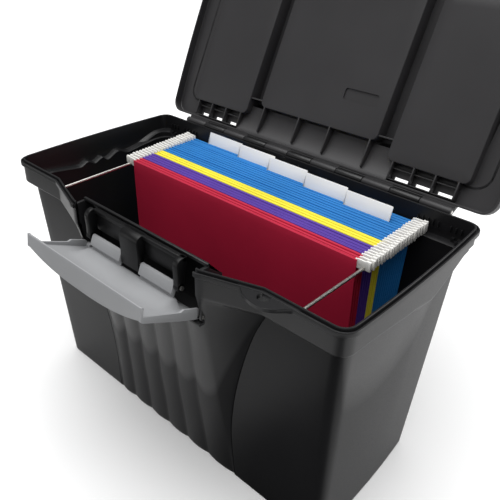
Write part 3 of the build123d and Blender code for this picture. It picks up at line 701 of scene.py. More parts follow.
def turn_x(y0: float, z0: float, degrees: float) -> Callable[[Point], Point]:
    """Turn about an axis along X.

    Args:
        y0: Axis Y.
        z0: Axis Z.
        degrees: Angle.

    Returns:
        The change for one point.
    """
    cos, sin = math.cos(math.radians(degrees)), math.sin(math.radians(degrees))

    def change(p: Point) -> Point:
        """Turn one point."""
        y, z = p[1] - y0, p[2] - z0
        return p[0], y0 + y * cos - z * sin, z0 + y * sin + z * cos

    return change


def dress(piece: Piece, body: str, slot: str, *nodes: str) -> Piece:
    """Hand a finished piece to the frame.

    Args:
        piece: The piece.
        body: CAD body that it rides on.
        slot: Material slot of the record; not used.
        *nodes: CAD nodes that it stands for.

    Returns:
        The piece.
    """
    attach(piece, body)
    if nodes:
        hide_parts(*nodes)
    log.info("%s: %d faces on %s", piece.name, len(piece.data.polygons), body)
    return piece


# ------------------------------------------------------------------ repeats

class RowMaker:
    """Geometry Nodes tree that sets copies of a piece in a straight row with a little looseness."""

    def __init__(self) -> None:
        """Build the tree."""
        nodes = Nodes.group("row of copies", "Geometry", {
            "Geometry": "Geometry", "Count": "Int", "Pitch": "Vector", "Play": "Vector", "Tilt": "Vector",
            "Seed": "Int", "Material": "Material"}, {"Geometry": "Geometry"})
        start = nodes.start
        line = nodes.out("Mesh", "GeometryNodeMeshLine", {"Count": start["Count"], "Offset": start["Pitch"]},
                         mode="OFFSET")
        points = nodes.out("Geometry", "GeometryNodeSetPosition",
                           {"Geometry": line, "Offset": self._loose(nodes, "Play", 0)})
        copies = nodes.out("Instances", "GeometryNodeInstanceOnPoints", {
            "Points": points, "Instance": start["Geometry"], "Rotation": self._loose(nodes, "Tilt", 17)})
        real = nodes.out("Geometry", "GeometryNodeRealizeInstances", {"Geometry": copies})
        self.tree = nodes.end(Geometry=nodes.out("Geometry", "GeometryNodeSetMaterial", {
            "Geometry": real, "Material": start["Material"]}))

    @staticmethod
    def _loose(nodes: Nodes, limit: str, extra: int) -> Socket:
        """Random vector for each copy.

        Args:
            nodes: Nodes of the tree.
            limit: Input that holds the largest value, either way.
            extra: Added to the seed.

        Returns:
            The vector.
        """
        most = nodes.start[limit]
        least = nodes.out("Vector", "ShaderNodeVectorMath", {0: most, "Scale": -1.0}, operation="SCALE")
        seed = nodes.maths("ADD", nodes.start["Seed"], extra)
        return nodes.out("Value", "FunctionNodeRandomValue", {"Min": least, "Max": most, "Seed": seed},
                         data_type="FLOAT_VECTOR")

    def row(self, piece: Piece, count: int, pitch: Point, play: Point = (0, 0, 0),
            tilt: Point = (0, 0, 0), seed: int = 1, centre: Point = (0, 0, 0)) -> Piece:
        """Replace a piece by a row of copies of it.

        Args:
            piece: The piece, in the place of the first copy.
            count: Number of copies.
            pitch: Step between copies, in millimetres.
            play: Largest random shift, in millimetres.
            tilt: Largest random turn about the centre, in degrees.
            seed: Random seed.
            centre: Point of the first copy that the turn is about, in millimetres.

        Returns:
            The same object, now a plain mesh.
        """
        material = piece.data.materials[0]
        piece.data.transform(Matrix.Translation([-c * MM for c in centre]))
        step = piece.modifiers.new("row", "NODES")
        step.node_group = self.tree
        values = {"Count": count, "Pitch": [c * MM for c in pitch], "Play": [c * MM for c in play],
                  "Tilt": [math.radians(c) for c in tilt], "Seed": seed, "Material": material}
        for socket in self.tree.interface.items_tree:
            if socket.in_out == "INPUT" and socket.name in values:
                step[socket.identifier] = values[socket.name]
        flatten_modifiers(piece)
        piece.data.transform(Matrix.Translation([c * MM for c in centre]))
        return piece


ROWS = RowMaker()


# ------------------------------------------------------------------ tub

@dataclass
class Tub:
    """Tapered tub with collar, rim, bulge, latch recess, rail seats and lock ear."""

    height: float = 261.0
    wall: float = 2.6
    floor: float = 3.0
    corner: float = 12.0
    bow: float = 3.2
    body_top: float = 230.0
    collar_bottom: float = 236.0
    rim_plan: float = 240.0
    # plans: half width at the front and at the back, front and back
    base: tuple = (194.0, 187.0, -85.5, 78.0)
    body: tuple = (205.5, 199.5, -97.0, 93.0)
    collar: tuple = (211.3, 207.5, -105.3, 100.4)
    # front bulge: half width at its foot and head, and its face
    bulge_heights: tuple = (0.0, 60.0, 110.0, 160.0, 203.0, 230.0)
    bulge_foot: tuple = (93.0, 90.0, 95.5, 107.0, 121.0, 134.0)
    bulge_head: tuple = (90.0, 84.0, 80.0, 79.5, 82.5, 84.3)
    bulge_face: tuple = (-84.6, -90.0, -96.8, -105.2, -115.0, -120.8)
    collar_bulge: tuple = (137.0, 84.5, -122.5)
    scallop: float = 1.9
    waves: int = 6
    recess_half: float = 81.0
    recess_floor: float = 206.5
    recess_back: float = -96.6
    recess_mouth: float = -111.0
    cheek: float = 3.0
    bead: float = 0.9      # depth of the fine line at the bulge's foot
    lean: float = 7.5      # how far the scallops lean
    # dip of the collar's lower edge along the side, inside and outside
    grip_places: tuple = (-85.0, -75.0, -51.0, -34.0, -25.0, -16.0, -5.0, 2.0, 18.0, 30.0, 52.0, 72.0)
    grip_drops: tuple = (0.0, 0.0, 3.6, 5.6, 2.0, 6.5, 2.5, 7.0, 0.7, 5.5, 2.6, 0.0)
    edge_places: tuple = (-95.0, -60.0, -20.0, -8.0, 19.0, 34.0, 52.0, 77.0, 93.0)
    edge_drops: tuple = (0.0, 1.0, 6.0, 7.0, 13.0, 7.0, -1.0, -11.5, -11.5)
    ear_hole: tuple = (141.8, -110.9, 5.0)    # centre and radius
    ear_outline: tuple = ((114.0, -110.0), (120.3, -113.3), (127.1, -117.9), (133.2, -120.6), (139.0, -121.9),
                          (145.0, -122.2), (150.0, -121.2), (154.5, -118.8), (158.6, -115.2), (162.8, -110.8),
                          (167.4, -107.0), (173.0, -105.0), (173.0, -103.0), (150.0, -103.0), (138.0, -103.2),
                          (118.0, -108.5))

    def plan_at(self, z: float) -> tuple:
        """Plan of the outer wall at a height.

        Args:
            z: The height.

        Returns:
            Half width at the front and at the back, front and back.
        """
        if z <= self.body_top:
            t = z / self.body_top
            return tuple(a + (b - a) * t for a, b in zip(self.base, self.body))
        t = min(1.0, (z - self.body_top) / (self.collar_bottom - self.body_top))
        return tuple(a + (b - a) * t for a, b in zip(self.body, self.collar))

    def bulge_at(self, z: float) -> tuple:
        """Plan of the front bulge at a height.

        Args:
            z: The height.

        Returns:
            Half width at the foot and at the head, face and depth of the scallops.
        """
        if z <= self.body_top:
            fade = 1.0 if z < 200 else max(0.0, 1.0 - (z - 200) / 20)
            return (through(self.bulge_heights, self.bulge_foot, z), through(self.bulge_heights, self.bulge_head, z),
                    through(self.bulge_heights, self.bulge_face, z), self.scallop * fade)
        t = min(1.0, (z - self.body_top) / (self.collar_bottom - self.body_top))
        low = (self.bulge_foot[-1], self.bulge_head[-1], self.bulge_face[-1])
        return (*(a + (b - a) * t for a, b in zip(low, self.collar_bulge)), 0.0)

    def drop(self, y: float, inside: bool) -> float:
        """How far the collar's lower edge dips at the finger grips; outside it rises again at the back.

        Args:
            y: Place along the side.
            inside: Whether it is the inner face.

        Returns:
            The dip.
        """
        if inside:
            return max(0.0, through(self.grip_places, self.grip_drops, y))
        return through(self.edge_places, self.edge_drops, y)

    def ring(self, z: float, grow: float, flat: float | None = None, relief: float = 1.0) -> list[Point]:
        """Closed ring of the wall.

        Args:
            z: Height that sets the plan.
            grow: Distance outside the outer wall.
            flat: Height of the ring, if it isn't z.
            relief: Share of the scallops.

        Returns:
            The ring, anticlockwise from the middle of the front.
        """
        hf, hb, front, back = self.plan_at(z)
        foot, head, face, scallop = self.bulge_at(z)
        hf, hb, front, back = hf + grow, hb + grow, front - grow, back + grow
        slope = math.atan2(max(0.5, front + grow - face), foot - head)
        foot, head = foot + grow * math.tan(slope / 2), head + grow * math.tan(slope / 2)
        face -= grow
        radius = max(2.0, self.corner + grow)
        middle = (front + back) / 2
        wide = (hf + hb) / 2 + self.bow

        def side_x(y: float) -> float:
            """Half width of the bowed side."""
            t = (y - middle) / (back - middle)
            return wide + (hb - hf) / 2 * t + ((hf + hb) / 2 - wide) * t * t

        half: list[Flat] = []
        pitch = head / (self.waves / 2)
        steps = self.waves // 2 * 12
        for i in range(steps + 1):
            x = head * i / steps
            share = (x % pitch) / pitch if i < steps else 0.0
            half.append((x, face - scallop * relief * (1 - (2 * share - 1) ** 2)))
        half.extend((head + (foot - head) * i / 10, face + (front - face) * i / 10) for i in range(1, 10))
        line = self.bead if z < self.body_top - 0.2 and grow >= 0 else 0.0
        half.extend([(foot - 0.42, front), (foot - 0.3, front + line), (foot + 0.3, front + line),
                     (foot + 0.42, front)])
        end = side_x(front + radius) - radius
        half.extend((foot + 0.42 + (end - foot - 0.42) * i / 8, front) for i in range(1, 9))
        half.extend((end + radius * math.sin(math.radians(11.25 * i)), front + radius - radius
                     * math.cos(math.radians(11.25 * i))) for i in range(1, 9))
        half.extend((side_x(y), y) for y in (front + radius + (back - front - 2 * radius) * i / 60
                                             for i in range(1, 60)))
        end = side_x(back - radius) - radius
        half.extend((end + radius * math.cos(math.radians(11.25 * i)), back - radius + radius
                     * math.sin(math.radians(11.25 * i))) for i in range(0, 9))
        half.extend((end * (1 - i / 14), back) for i in range(1, 15))
        level = z if flat is None else flat
        inside = grow < -1.5
        right = [(x, y, self.sunk(level, x / hf, y, inside)) for x, y in half]
        left = [(-x, y, height) for x, y, height in reversed(right[1:-1])]
        lean = self.lean * ((z - 140) / 60 if z < 200 else max(0.0, self.body_top - z) / 30)
        lean = max(-8.0, lean) if scallop else 0.0
        return [(x + lean * (1 - (x / head) ** 4) if abs(x) < head and y < 0 else x, y, height)
                for x, y, height in right + left]

    def sunk(self, z: float, share: float, y: float, inside: bool) -> float:
        """Height of a wall point after the finger grip moves the collar's edge.

        Args:
            z: Height on the plain wall.
            share: Share of the half width.
            y: Place along the side.
            inside: Whether the point is on the inner face.

        Returns:
            The height.
        """
        if share < 0.90 or z > 253:
            return z
        drop = self.drop(y, inside) * min(1.0, (share - 0.90) / 0.04)
        if z <= self.body_top:
            return z * (1 - drop / self.body_top)
        end = 250.0 if inside else 253.5
        start = 238.0 if inside else self.body_top
        return z - drop * max(0.0, 1.0 - max(0.0, z - start) / (end - start))

    def recess_line(self, inset: float) -> list[Flat]:
        """(Y, Z) line of the recess from its mouth down to its front edge.

        Args:
            inset: Distance into the tub.

        Returns:
            The line.
        """
        slope = 0.4 * inset
        return [(self.recess_mouth + inset, self.height - 0.2), (self.recess_mouth + inset, 258 - slope),
                (self.recess_back + inset, 246 - slope), (self.recess_back + inset, self.recess_floor - inset),
                (-121.0, self.recess_floor - inset)]

    def shell(self) -> Piece:
        """Skin the wall from the floor, over the rim, down the inside.

        Returns:
            The shell with the recess cut out.
        """
        foot = ((0, -6.0, 0.0, 0.7), (0, -2.0, 0.0, 0.9), (0.6, -0.6, 0.5), (2.2, 0.0))
        body = (6, 12, *range(20, 200, 10), 198, 204, 210, 216, 222, 227, 229.6)
        collar = ((231.2, 0.1), *((z, 0.0) for z in (233, 235.4, 236.6, 238, 243, 249, 254.0)))
        rim = ((0.35, 254.5), (2.0, 254.6), (2.4, 255.1), (2.4, 258.6), (2.1, 259.1), (1.0, 259.2), (0.75, 258.9),
               (0.7, 257.2), (-0.7, 257.1), (-0.8, 258.0), (-0.85, 260.5), (-1.2, 260.95), (-2.1, 261.0),
               (-2.5, 260.6), *((-2.6, z) for z in (257.0, 252.0, 247.0, 242.0, 238.0)), (-2.9, 237.3))
        step = ((230.3, -2.3, 236.2), (230, -2.8, 235.6), (230, -2.6, 231.0))
        inside = (226, 216, 204, 190, 170, 150, 130, 110, 90, 70, 50, 30, 14, 6)
        rows = (*foot, *((z, 0.0) for z in body), *collar, *((self.rim_plan, grow, z) for grow, z in rim), *step,
                *((z, -self.wall, None, 0.5) for z in inside), (4, -4.0, 3.8, 0.3), (3, -6.5, 3.0, 0.0))
        rings = [self.ring(*row) for row in rows]
        shell = Shape("tub_shell")
        shell.rings(rings)
        count = len(rings[0])
        shell.add([*rings[-1], (0.0, 0.0, self.floor)], [(i, (i + 1) % count, count) for i in range(count)])
        shell.add([*rings[0], (0.0, 0.0, 0.0)], [((i + 1) % count, i, count) for i in range(count)])
        made = shell.object(PALETTE.tub, sharp=34.0)
        line = self.recess_line(0.0)
        cutter = Shape("cutter").prism_x([(-140.0, 270.0), (line[0][0], 270.0), *line[1:4],
                                          (-140.0, self.recess_floor)], -self.recess_half, self.recess_half)
        carve(made, [cutter.object(PALETTE.tub)])
        shade(made, 34.0)
        return made

    def housing(self) -> list[Piece]:
        """Back, slope, floor and cheeks of the latch recess.

        Returns:
            The two parts.
        """
        front, back = self.recess_line(0.0), self.recess_line(self.wall)
        wall = Shape("recess_wall").prism_x([*front, *reversed(back)], -83.4, 83.4)
        cheek = Shape("recess_cheek").prism_x(
            [(-112.0, 205.4), (-116.6, 207.2), (-119.2, 210.0), (-119.6, 214.0), (-118.8, 221.0), (-120.0, 230.0),
             (-122.0, 237.0), (-121.9, 258.4), (-109.4, 258.4), (-109.2, 256.6), (-94.8, 244.6), (-94.8, 204.0)],
            self.recess_half, self.recess_half + self.cheek).mirrored()
        return [wall.object(PALETTE.tub, bevel=0.45), cheek.object(PALETTE.tub, bevel=0.35)]

    def ear(self) -> Piece:
        """Flat tab with a hole, beside the latch.

        Returns:
            The tab.
        """
        cx, cy, hole = self.ear_hole
        angles = [math.radians(a) for a in range(0, 360, 4)]

        def edge(angle: float) -> float:
            """Distance from the hole's centre to the tab's outline.

            Args:
                angle: Direction, in radians.

            Returns:
                The distance.
            """
            dx, dy = math.cos(angle), math.sin(angle)
            found = []
            for (x0, y0), (x1, y1) in zip(self.ear_outline, self.ear_outline[1:] + self.ear_outline[:1]):
                across = dx * (y1 - y0) - dy * (x1 - x0)
                if abs(across) > 1e-9:
                    reach = ((x0 - cx) * (y1 - y0) - (y0 - cy) * (x1 - x0)) / across
                    share = ((x0 - cx) * dy - (y0 - cy) * dx) / across
                    if reach > 0 and 0 <= share <= 1:
                        found.append(reach)
            return max(found)

        rings: list[list[Point]] = []
        for lift, share, inset in ((254.8, 0.0, 0.0), (254.8, 1.0, 0.5), (255.3, 1.0, 0.0), (258.3, 1.0, 0.0),
                                   (258.7, 1.0, 0.4), (258.7, 0.0, 0.4), (258.3, 0.0, 0.0), (254.8, 0.0, 0.0)):
            reach = [hole + (edge(a) - inset - hole) * share + inset * (1 - share) for a in angles]
            rings.append([(cx + math.cos(a) * r, cy + math.sin(a) * r, lift) for a, r in zip(angles, reach)])
        return Shape("lock_ear").rings(rings).object(PALETTE.tub, sharp=40.0)

    def seats(self) -> list[Piece]:
        """Rail cradles and the row of small ribs beside them.

        Returns:
            The cradles and the rows.
        """
        made: list[Piece] = []
        for x in (-190.0, -156.0, 156.0, 190.0):
            for y0, low0, y1, low1 in ((-103.0, 237.0, -99.9, 232.5), (95.0, 232.5, 98.2, 237.0)):
                seat = Shape("rail_seat").prism_x([(y0, low0), (y1, low1), (y1, 238.4), (y0, 238.4)], x - 4.5, x + 4.5)
                for x0, x1 in ((x - 4.5, x - 1.6), (x + 1.6, x + 4.5)):
                    seat.prism_x([(y0, 238.0), (y1, 238.0), (y1, 241.5), (y0, 241.5)], x0, x1)
                made.append(seat.object(PALETTE.tub, bevel=0.3))
        for side in Side:
            for start, count in ((150.0, 5), (183.0, 3)):
                rib = Shape("seat_ribs").block(side.value * start - 0.5, side.value * start + 0.5, 95.6, 98.2, 246.0,
                                               251.5).object(PALETTE.tub, bevel=0.25)
                made.append(ROWS.row(rib, count, (side.value * 5.2, 0, 0)))
        return made

    def knuckles(self) -> Piece:
        """Hinge knuckles on arms behind the rim.

        Returns:
            The knuckles.
        """
        shape = Shape("tub_knuckles")
        for x0, x1 in knuckle_spans(1):
            shape.rod_x(4.0, x0, x1, *HINGE_AXIS, 24)
            shape.prism_x([(99.4, 246.5), (99.4, 255.5), (107.0, 258.7), (112.2, 256.2)], x0, x1)
        return shape.object(PALETTE.tub, bevel=0.2)

    def build(self) -> None:
        """Build and dress the tub."""
        pieces = [self.shell(), *self.housing(), self.ear(), *self.seats(),
                  self.knuckles()]
        dress(merge("file_tub", pieces), "box", "tub_plastic", "tub")


@dataclass
class Rails:
    """Steel rods that carry the folders."""

    radius: float = 1.5
    edge: float = 0.3
    height: float = 238.5
    front: float = -102.6
    back: float = 97.7
    half_spacing: float = 156.0

    def build(self) -> None:
        """Build and dress both rails."""
        for side, node in ((Side.LEFT, "rail_left"), (Side.RIGHT, "rail_right")):
            place = (side.value * self.half_spacing, self.height)
            rings = [[(x, y, z) for x, z in circle(*place, r, 24)]
                     for y, r in ((self.front, self.radius - self.edge), (self.front + self.edge, self.radius),
                                  (self.back - self.edge, self.radius), (self.back, self.radius - self.edge))]
            shape = Shape(f"steel_{node}").rings(rings, True, True)
            dress(shape.object(PALETTE.steel), "box", "steel", node)


# ------------------------------------------------------------------ folders

@dataclass
class Filing:
    """Hanging folders in four colour groups, their hanger bars and the index tabs."""

    half_width: float = 149.25
    top: float = 244.7
    bottom: float = 9.7
    neck: Flat = (229.5, 236.2)
    mouth: float = 3.8
    fold: float = 1.2
    pitch: float = 4.4
    neck_pitch: float = 4.12
    fold_pitch: float = 3.1
    first: float = -0.6
    first_fold: float = 3.0
    sheet: float = 0.5
    hem: float = 1.65
    rise: float = 0.12
    lean: float = 0.36
    tab_centres: tuple = (-99.8, -47.3, 0.5, 53.7, 107.0)
    tab_folders: tuple = (11, 10, 9, 8, 7)

    def panel(self, shape: Shape, index: int, back: bool, lift: float, seed: int) -> None:
        """One panel of a folder: a thin sheet whose top edge is hemmed round its hanger bar.

        Args:
            shape: Shape to add to.
            index: Folder number from the front.
            back: Whether it is the back panel.
            lift: Change of the top edge's height.
            seed: Random seed.
        """
        way = -1 if back else 1
        far = self.mouth if back else 0.0
        top_y = self.first + index * self.pitch + far
        neck_y = self.first + index * self.neck_pitch + far
        fold_y = self.first_fold + index * self.fold_pitch + (self.fold if back else 0.0)
        phase = random.Random(seed).uniform(0, math.tau)
        radius = self.hem / 2
        columns = 12
        rings: list[list[Point]] = []
        for c in range(columns + 1):
            x = -self.half_width + 2 * self.half_width * c / columns
            crown = self.top + lift + 0.12 * math.sin(phase + 2.6 * c / columns) - radius
            low, high = self.neck
            outside = [(fold_y, self.bottom), ((fold_y + neck_y) / 2, (self.bottom + low) / 2), (neck_y, low),
                       (top_y, high), (top_y, crown)]
            arc = [(top_y + way * radius * (1 - math.cos(math.pi * k / 8)), crown + radius * math.sin(math.pi * k / 8))
                   for k in range(1, 8)]
            under = [(top_y + way * self.hem, crown), (top_y + way * self.hem, high + 1.0),
                     (top_y + way * self.sheet, high + 0.4)]
            inside = [(y + way * self.sheet, z) for y, z in reversed(outside[:4])]
            rings.append([(x, y, z) for y, z in (*outside, *arc, *under, *inside)])
        shape.rings(rings, True, True)

    def folders(self, stock: Stock, first: int) -> None:
        """Build and dress one colour group.

        Args:
            stock: The colour.
            first: Number of its first folder.
        """
        name, _, count = stock.value
        shape = Shape(f"{name}_folder_cards")
        for i in range(first, first + count):
            chance = random.Random(40 + i)
            self.panel(shape, i, False, chance.uniform(-0.3, 0.0), 200 + i)
            self.panel(shape, i, True, chance.uniform(-0.9, -0.3), 300 + i)
        dress(shape.object(PALETTE.card[stock], sharp=50.0), f"{name}_files", f"{name}_paper", f"{name}_folders")

    def hangers(self, stock: Stock, first: int) -> None:
        """Build and dress the white bars of one colour group.

        Args:
            stock: The colour.
            first: Number of its first folder.
        """
        name, _, count = stock.value
        front = self.first + first * self.pitch + self.sheet
        up = self.rise * first
        half = Shape(f"{name}_hanger_bars")
        half.block(self.half_width - 1.6, 157.6, front + 0.55, front + 2.25, 236.9, 245.3 + up)
        half.block(self.half_width + 0.4, 162.2, front + 0.35, front + 2.0, 240.4, 246.0 + up)
        half.block(158.2, 162.7, front + 0.5, front + 2.75, 237.4, 246.6 + up)
        half.block(160.6, 162.7, front + 0.2, front + 2.95, 238.6, 245.6 + up)
        half.mirrored()
        half.block(-self.half_width + 1.0, self.half_width - 1.0, front + 0.1, front + 0.9, 237.0, 240.4)
        bar = half.object(PALETTE.hanger, bevel=0.22)
        centre = (0.0, front + 1.2, 240.0)
        ROWS.row(bar, count, (0, self.pitch, self.rise), (0.55, 0.15, 0.25), (0.0, 0.0, 0.1), 5 + first, centre)
        shade(bar, 40.0)
        dress(bar, f"{name}_files", "hanger_plastic", f"{name}_hangers")

    @staticmethod
    def split(start: Flat, end: Flat) -> list[Flat]:
        """Cut an outline's edge where it crosses the folders' tops.

        Args:
            start: Start of the edge.
            end: Its end.

        Returns:
            The start, and the crossing if there is one.
        """
        fold = 245.0
        if (start[1] - fold) * (end[1] - fold) >= 0:
            return [start]
        share = (fold - start[1]) / (end[1] - start[1])
        return [start, (start[0] + (end[0] - start[0]) * share, fold)]

    def tabs(self) -> None:
        """Build and dress the index tabs."""
        blue_start = sum(stock.value[2] for stock in Stock) - Stock.BLUE.value[2]
        for number, (centre, index) in enumerate(zip(self.tab_centres, self.tab_folders), start=1):
            front = self.first + (blue_start + index) * self.pitch + self.sheet + 0.9
            shape = Shape(f"white_tab_{number}")
            left, right = centre - 25.8, centre + 25.8
            outline = rounded_outline(left, right, 237.0, 258.5, 1.2, 4)
            outline = [point for pair in zip(outline, outline[1:] + outline[:1]) for point in self.split(*pair)]
            shape.rings([[(x, y, z) for x, z in outline] for y in (front, front + 0.12, front + 0.28, front + 0.4)],
                        True, True)
            shape.moved(lambda p: (p[0], p[1] + self.lean * max(0.0, p[2] - 245.0), p[2]))
            dress(shape.object(PALETTE.tab, bevel=0.08), "blue_files", "tab_plastic", f"index_tab_{number}")

    def build(self) -> None:
        """Build and dress every folder, hanger and tab."""
        first = 0
        for stock in Stock:
            self.folders(stock, first)
            self.hangers(stock, first)
            first += stock.value[2]
        self.tabs()


# ------------------------------------------------------------------ latch

@dataclass
class Latch:
    """Draw latch: silver-grey flap and black yoke; their pin comes from the CAD model."""

    axis_y: float = -116.5
    axis_z: float = 212.5
    tilt: float = 67.0
    half: float = 79.5
    length: float = 68.1
    heel: float = 2.8
    wall: float = 2.3
    pin_up: float = 12.8
    pin_in: float = 17.4

    def to_world(self, p: Point) -> Point:
        """Place a flap point given as (x, along the flap, towards the box)."""
        return turn_x(self.axis_y, self.axis_z, self.tilt)((p[0], self.axis_y + p[2], self.axis_z + p[1]))

    def face(self, x: float, u: float) -> float:
        """Outer face of the flap: flat at the hinge, domed at the lip.

        Args:
            x: Place across the flap.
            u: Place along the flap.

        Returns:
            Distance towards the box.
        """
        share = max(0.0, u + self.heel) / (self.length + self.heel)
        dome = 1 - abs(x / self.half) ** 2.4
        return -3.2 + 3.9 * share - (0.4 + 10.6 * share ** 1.15) * dome

    def swell(self, x: float, u: float) -> float:
        """How far the inner deck rises towards the leaves.

        Args:
            x: Place across the flap.
            u: Place along the flap.

        Returns:
            The rise.
        """
        run = min(1.0, max(0.0, (36.0 - u) / 26.0))
        edge = min(1.0, max(0.0, (67.0 - abs(x)) / 10.0))
        return 7.4 * run * run * (3 - 2 * run) * edge * edge * (3 - 2 * edge)

    def flap(self) -> None:
        """Build and dress the flap."""
        shape = Shape("grey_latch_flap")
        columns, rows = 48, 16
        edge, lip_top = self.half, 11.6
        sixths = [k / 6 for k in range(1, 7)]
        grid: list[list[Point]] = []
        for c in range(columns + 1):
            x = (edge - 0.5) * (2 * c / columns - 1)
            far = self.length - 3.0 - 3.2 * (1 - (x / edge) ** 2)
            outer = [(x, -self.heel + (far + self.heel) * r / rows) for r in range(rows + 1)]
            line = [(x, u, self.face(x, u)) for x, u in outer]
            line[0] = (x, -self.heel + 0.6, line[0][2])
            low = line[-1]
            line += [(x, low[1] + (self.length - low[1]) * t, low[2] + (lip_top - 0.5 - low[2]) * t) for t in sixths]
            line += [(x, self.length - 0.5, lip_top), (x, self.length - 1.7, lip_top),
                     (x, self.length - 2.2, lip_top - 0.5)]
            inner_far = far - 2.0
            inner_low = self.face(x, inner_far) + self.wall
            line += [(x, self.length - 2.2 + (inner_far - self.length + 2.2) * t,
                      lip_top - 0.5 + (inner_low + 0.8 - lip_top + 0.5) * t) for t in sixths]
            for r in range(rows + 1):
                u = inner_far - 0.8 - (inner_far - 0.8 - 9.6) * r / rows
                line.append((x, u, self.face(x, u) + self.wall + self.swell(x, u)))
            line.append((x, 9.2, self.face(x, 9.2) + self.wall + 0.6 * self.swell(x, 9.2)))
            line.append((x, -self.heel, self.face(x, -self.heel) + self.wall))
            grid.append(line)
        shape.rings(grid, True, True)
        tip = self.length
        side = [(-self.heel, -3.3), (6.0, -4.2), (24.0, -3.9), (tip - 6.0, -1.7), (tip - 3.2, -0.6), (tip - 0.2, 11.1),
                (tip - 0.6, lip_top), (tip - 2.6, 11.5), (tip - 4.2, 3.8), (24.0, 3.8), (21.0, 5.9), (4.0, 5.9),
                (1.5, 3.4), (-self.heel, 3.2)]
        shape.prism_x(side, edge - self.wall, edge)
        shape.prism_x(side, -edge, -edge + self.wall)
        heel = [(-self.heel, -3.2), (2.2, -3.6), (2.4, 2.4), (0.8, 3.4), (-1.6, 3.4), (-self.heel, 2.0)]
        for x0, x1 in ((-edge, -edge + 7), (edge - 7, edge)):
            shape.prism_x(heel, x0, x1)
        low, high = self.pin_up - 2.4, self.pin_up + 2.4
        leaf = [(low, -1.6), (high - 3.2, -1.6), (high - 3.2, 8.4), (high, 9.2), (high, self.pin_in),
                (self.pin_up + 2.0, self.pin_in + 1.9), (self.pin_up, self.pin_in + 2.8),
                (self.pin_up - 2.0, self.pin_in + 1.9), (low, self.pin_in)]
        for x0, x1 in ((-56.5, -13.5), (13.5, 56.5)):
            shape.prism_x(leaf, x0, x1)
        shape.moved(self.to_world)
        dress(shape.object(PALETTE.latch_grey, bevel=0.35, sharp=32.0), "flap", "latch_plastic", "latch_flap")

    def yoke(self) -> None:
        """Build and dress the yoke."""
        _, y, z = self.to_world((0.0, self.pin_up, self.pin_in))
        back, top = -113.5, 260.4
        round_front = [(-125.2 + 7.2 * (1 - math.cos(math.radians(a))), top - 6.5 + 6.5 * math.sin(math.radians(a)))
                       for a in range(0, 91, 10)]
        upper = [(-124.7, z + 10), *round_front, (back, top), (back, top - 4), (-115.6, top - 12), (y + 3.6, z)]
        shape = Shape("black_latch_yoke")
        knuckle = circle(y, z, 4.0, 24)
        for x0, x1 in ((-63.0, -57.5), (57.5, 63.0)):
            shape.prism_x([(-125.0, z - 1), *upper], x0, x1)
            shape.prism_x(knuckle, x0, x1)
        shape.prism_x([(-125.0, z - 7.0), *upper, (y + 2.5, z - 1), (y - 1.5, z - 7)], -12.0, 12.0)
        shape.prism_x([(-118.2, top - 3.9), (-118.2, top - 0.5), (-117.6, top), (-114.2, top), (back, top - 0.5),
                       (back, top - 3.9)], -63.0, 63.0)
        shape.prism_x([(-115.9, 238.5), (-115.9, top - 3), (-114.0, top - 3), (-114.0, 238.5)], -58.0, 58.0)
        yoke = shape.object(PALETTE.latch_black, bevel=0.3)
        rib = Shape("ribs").block(-56.6, -55.9, -117.4, -114.4, top - 0.4, top + 0.28)
        ribs = ROWS.row(rib.object(PALETTE.latch_black, bevel=0.12, segments=1), 75, (1.52, 0, 0))
        dress(merge("black_yoke", [yoke, ribs]), "yoke", "tub_plastic", "latch_yoke")

    def build(self) -> None:
        """Build and dress the latch."""
        self.flap()
        self.yoke()


# ------------------------------------------------------------------ lid

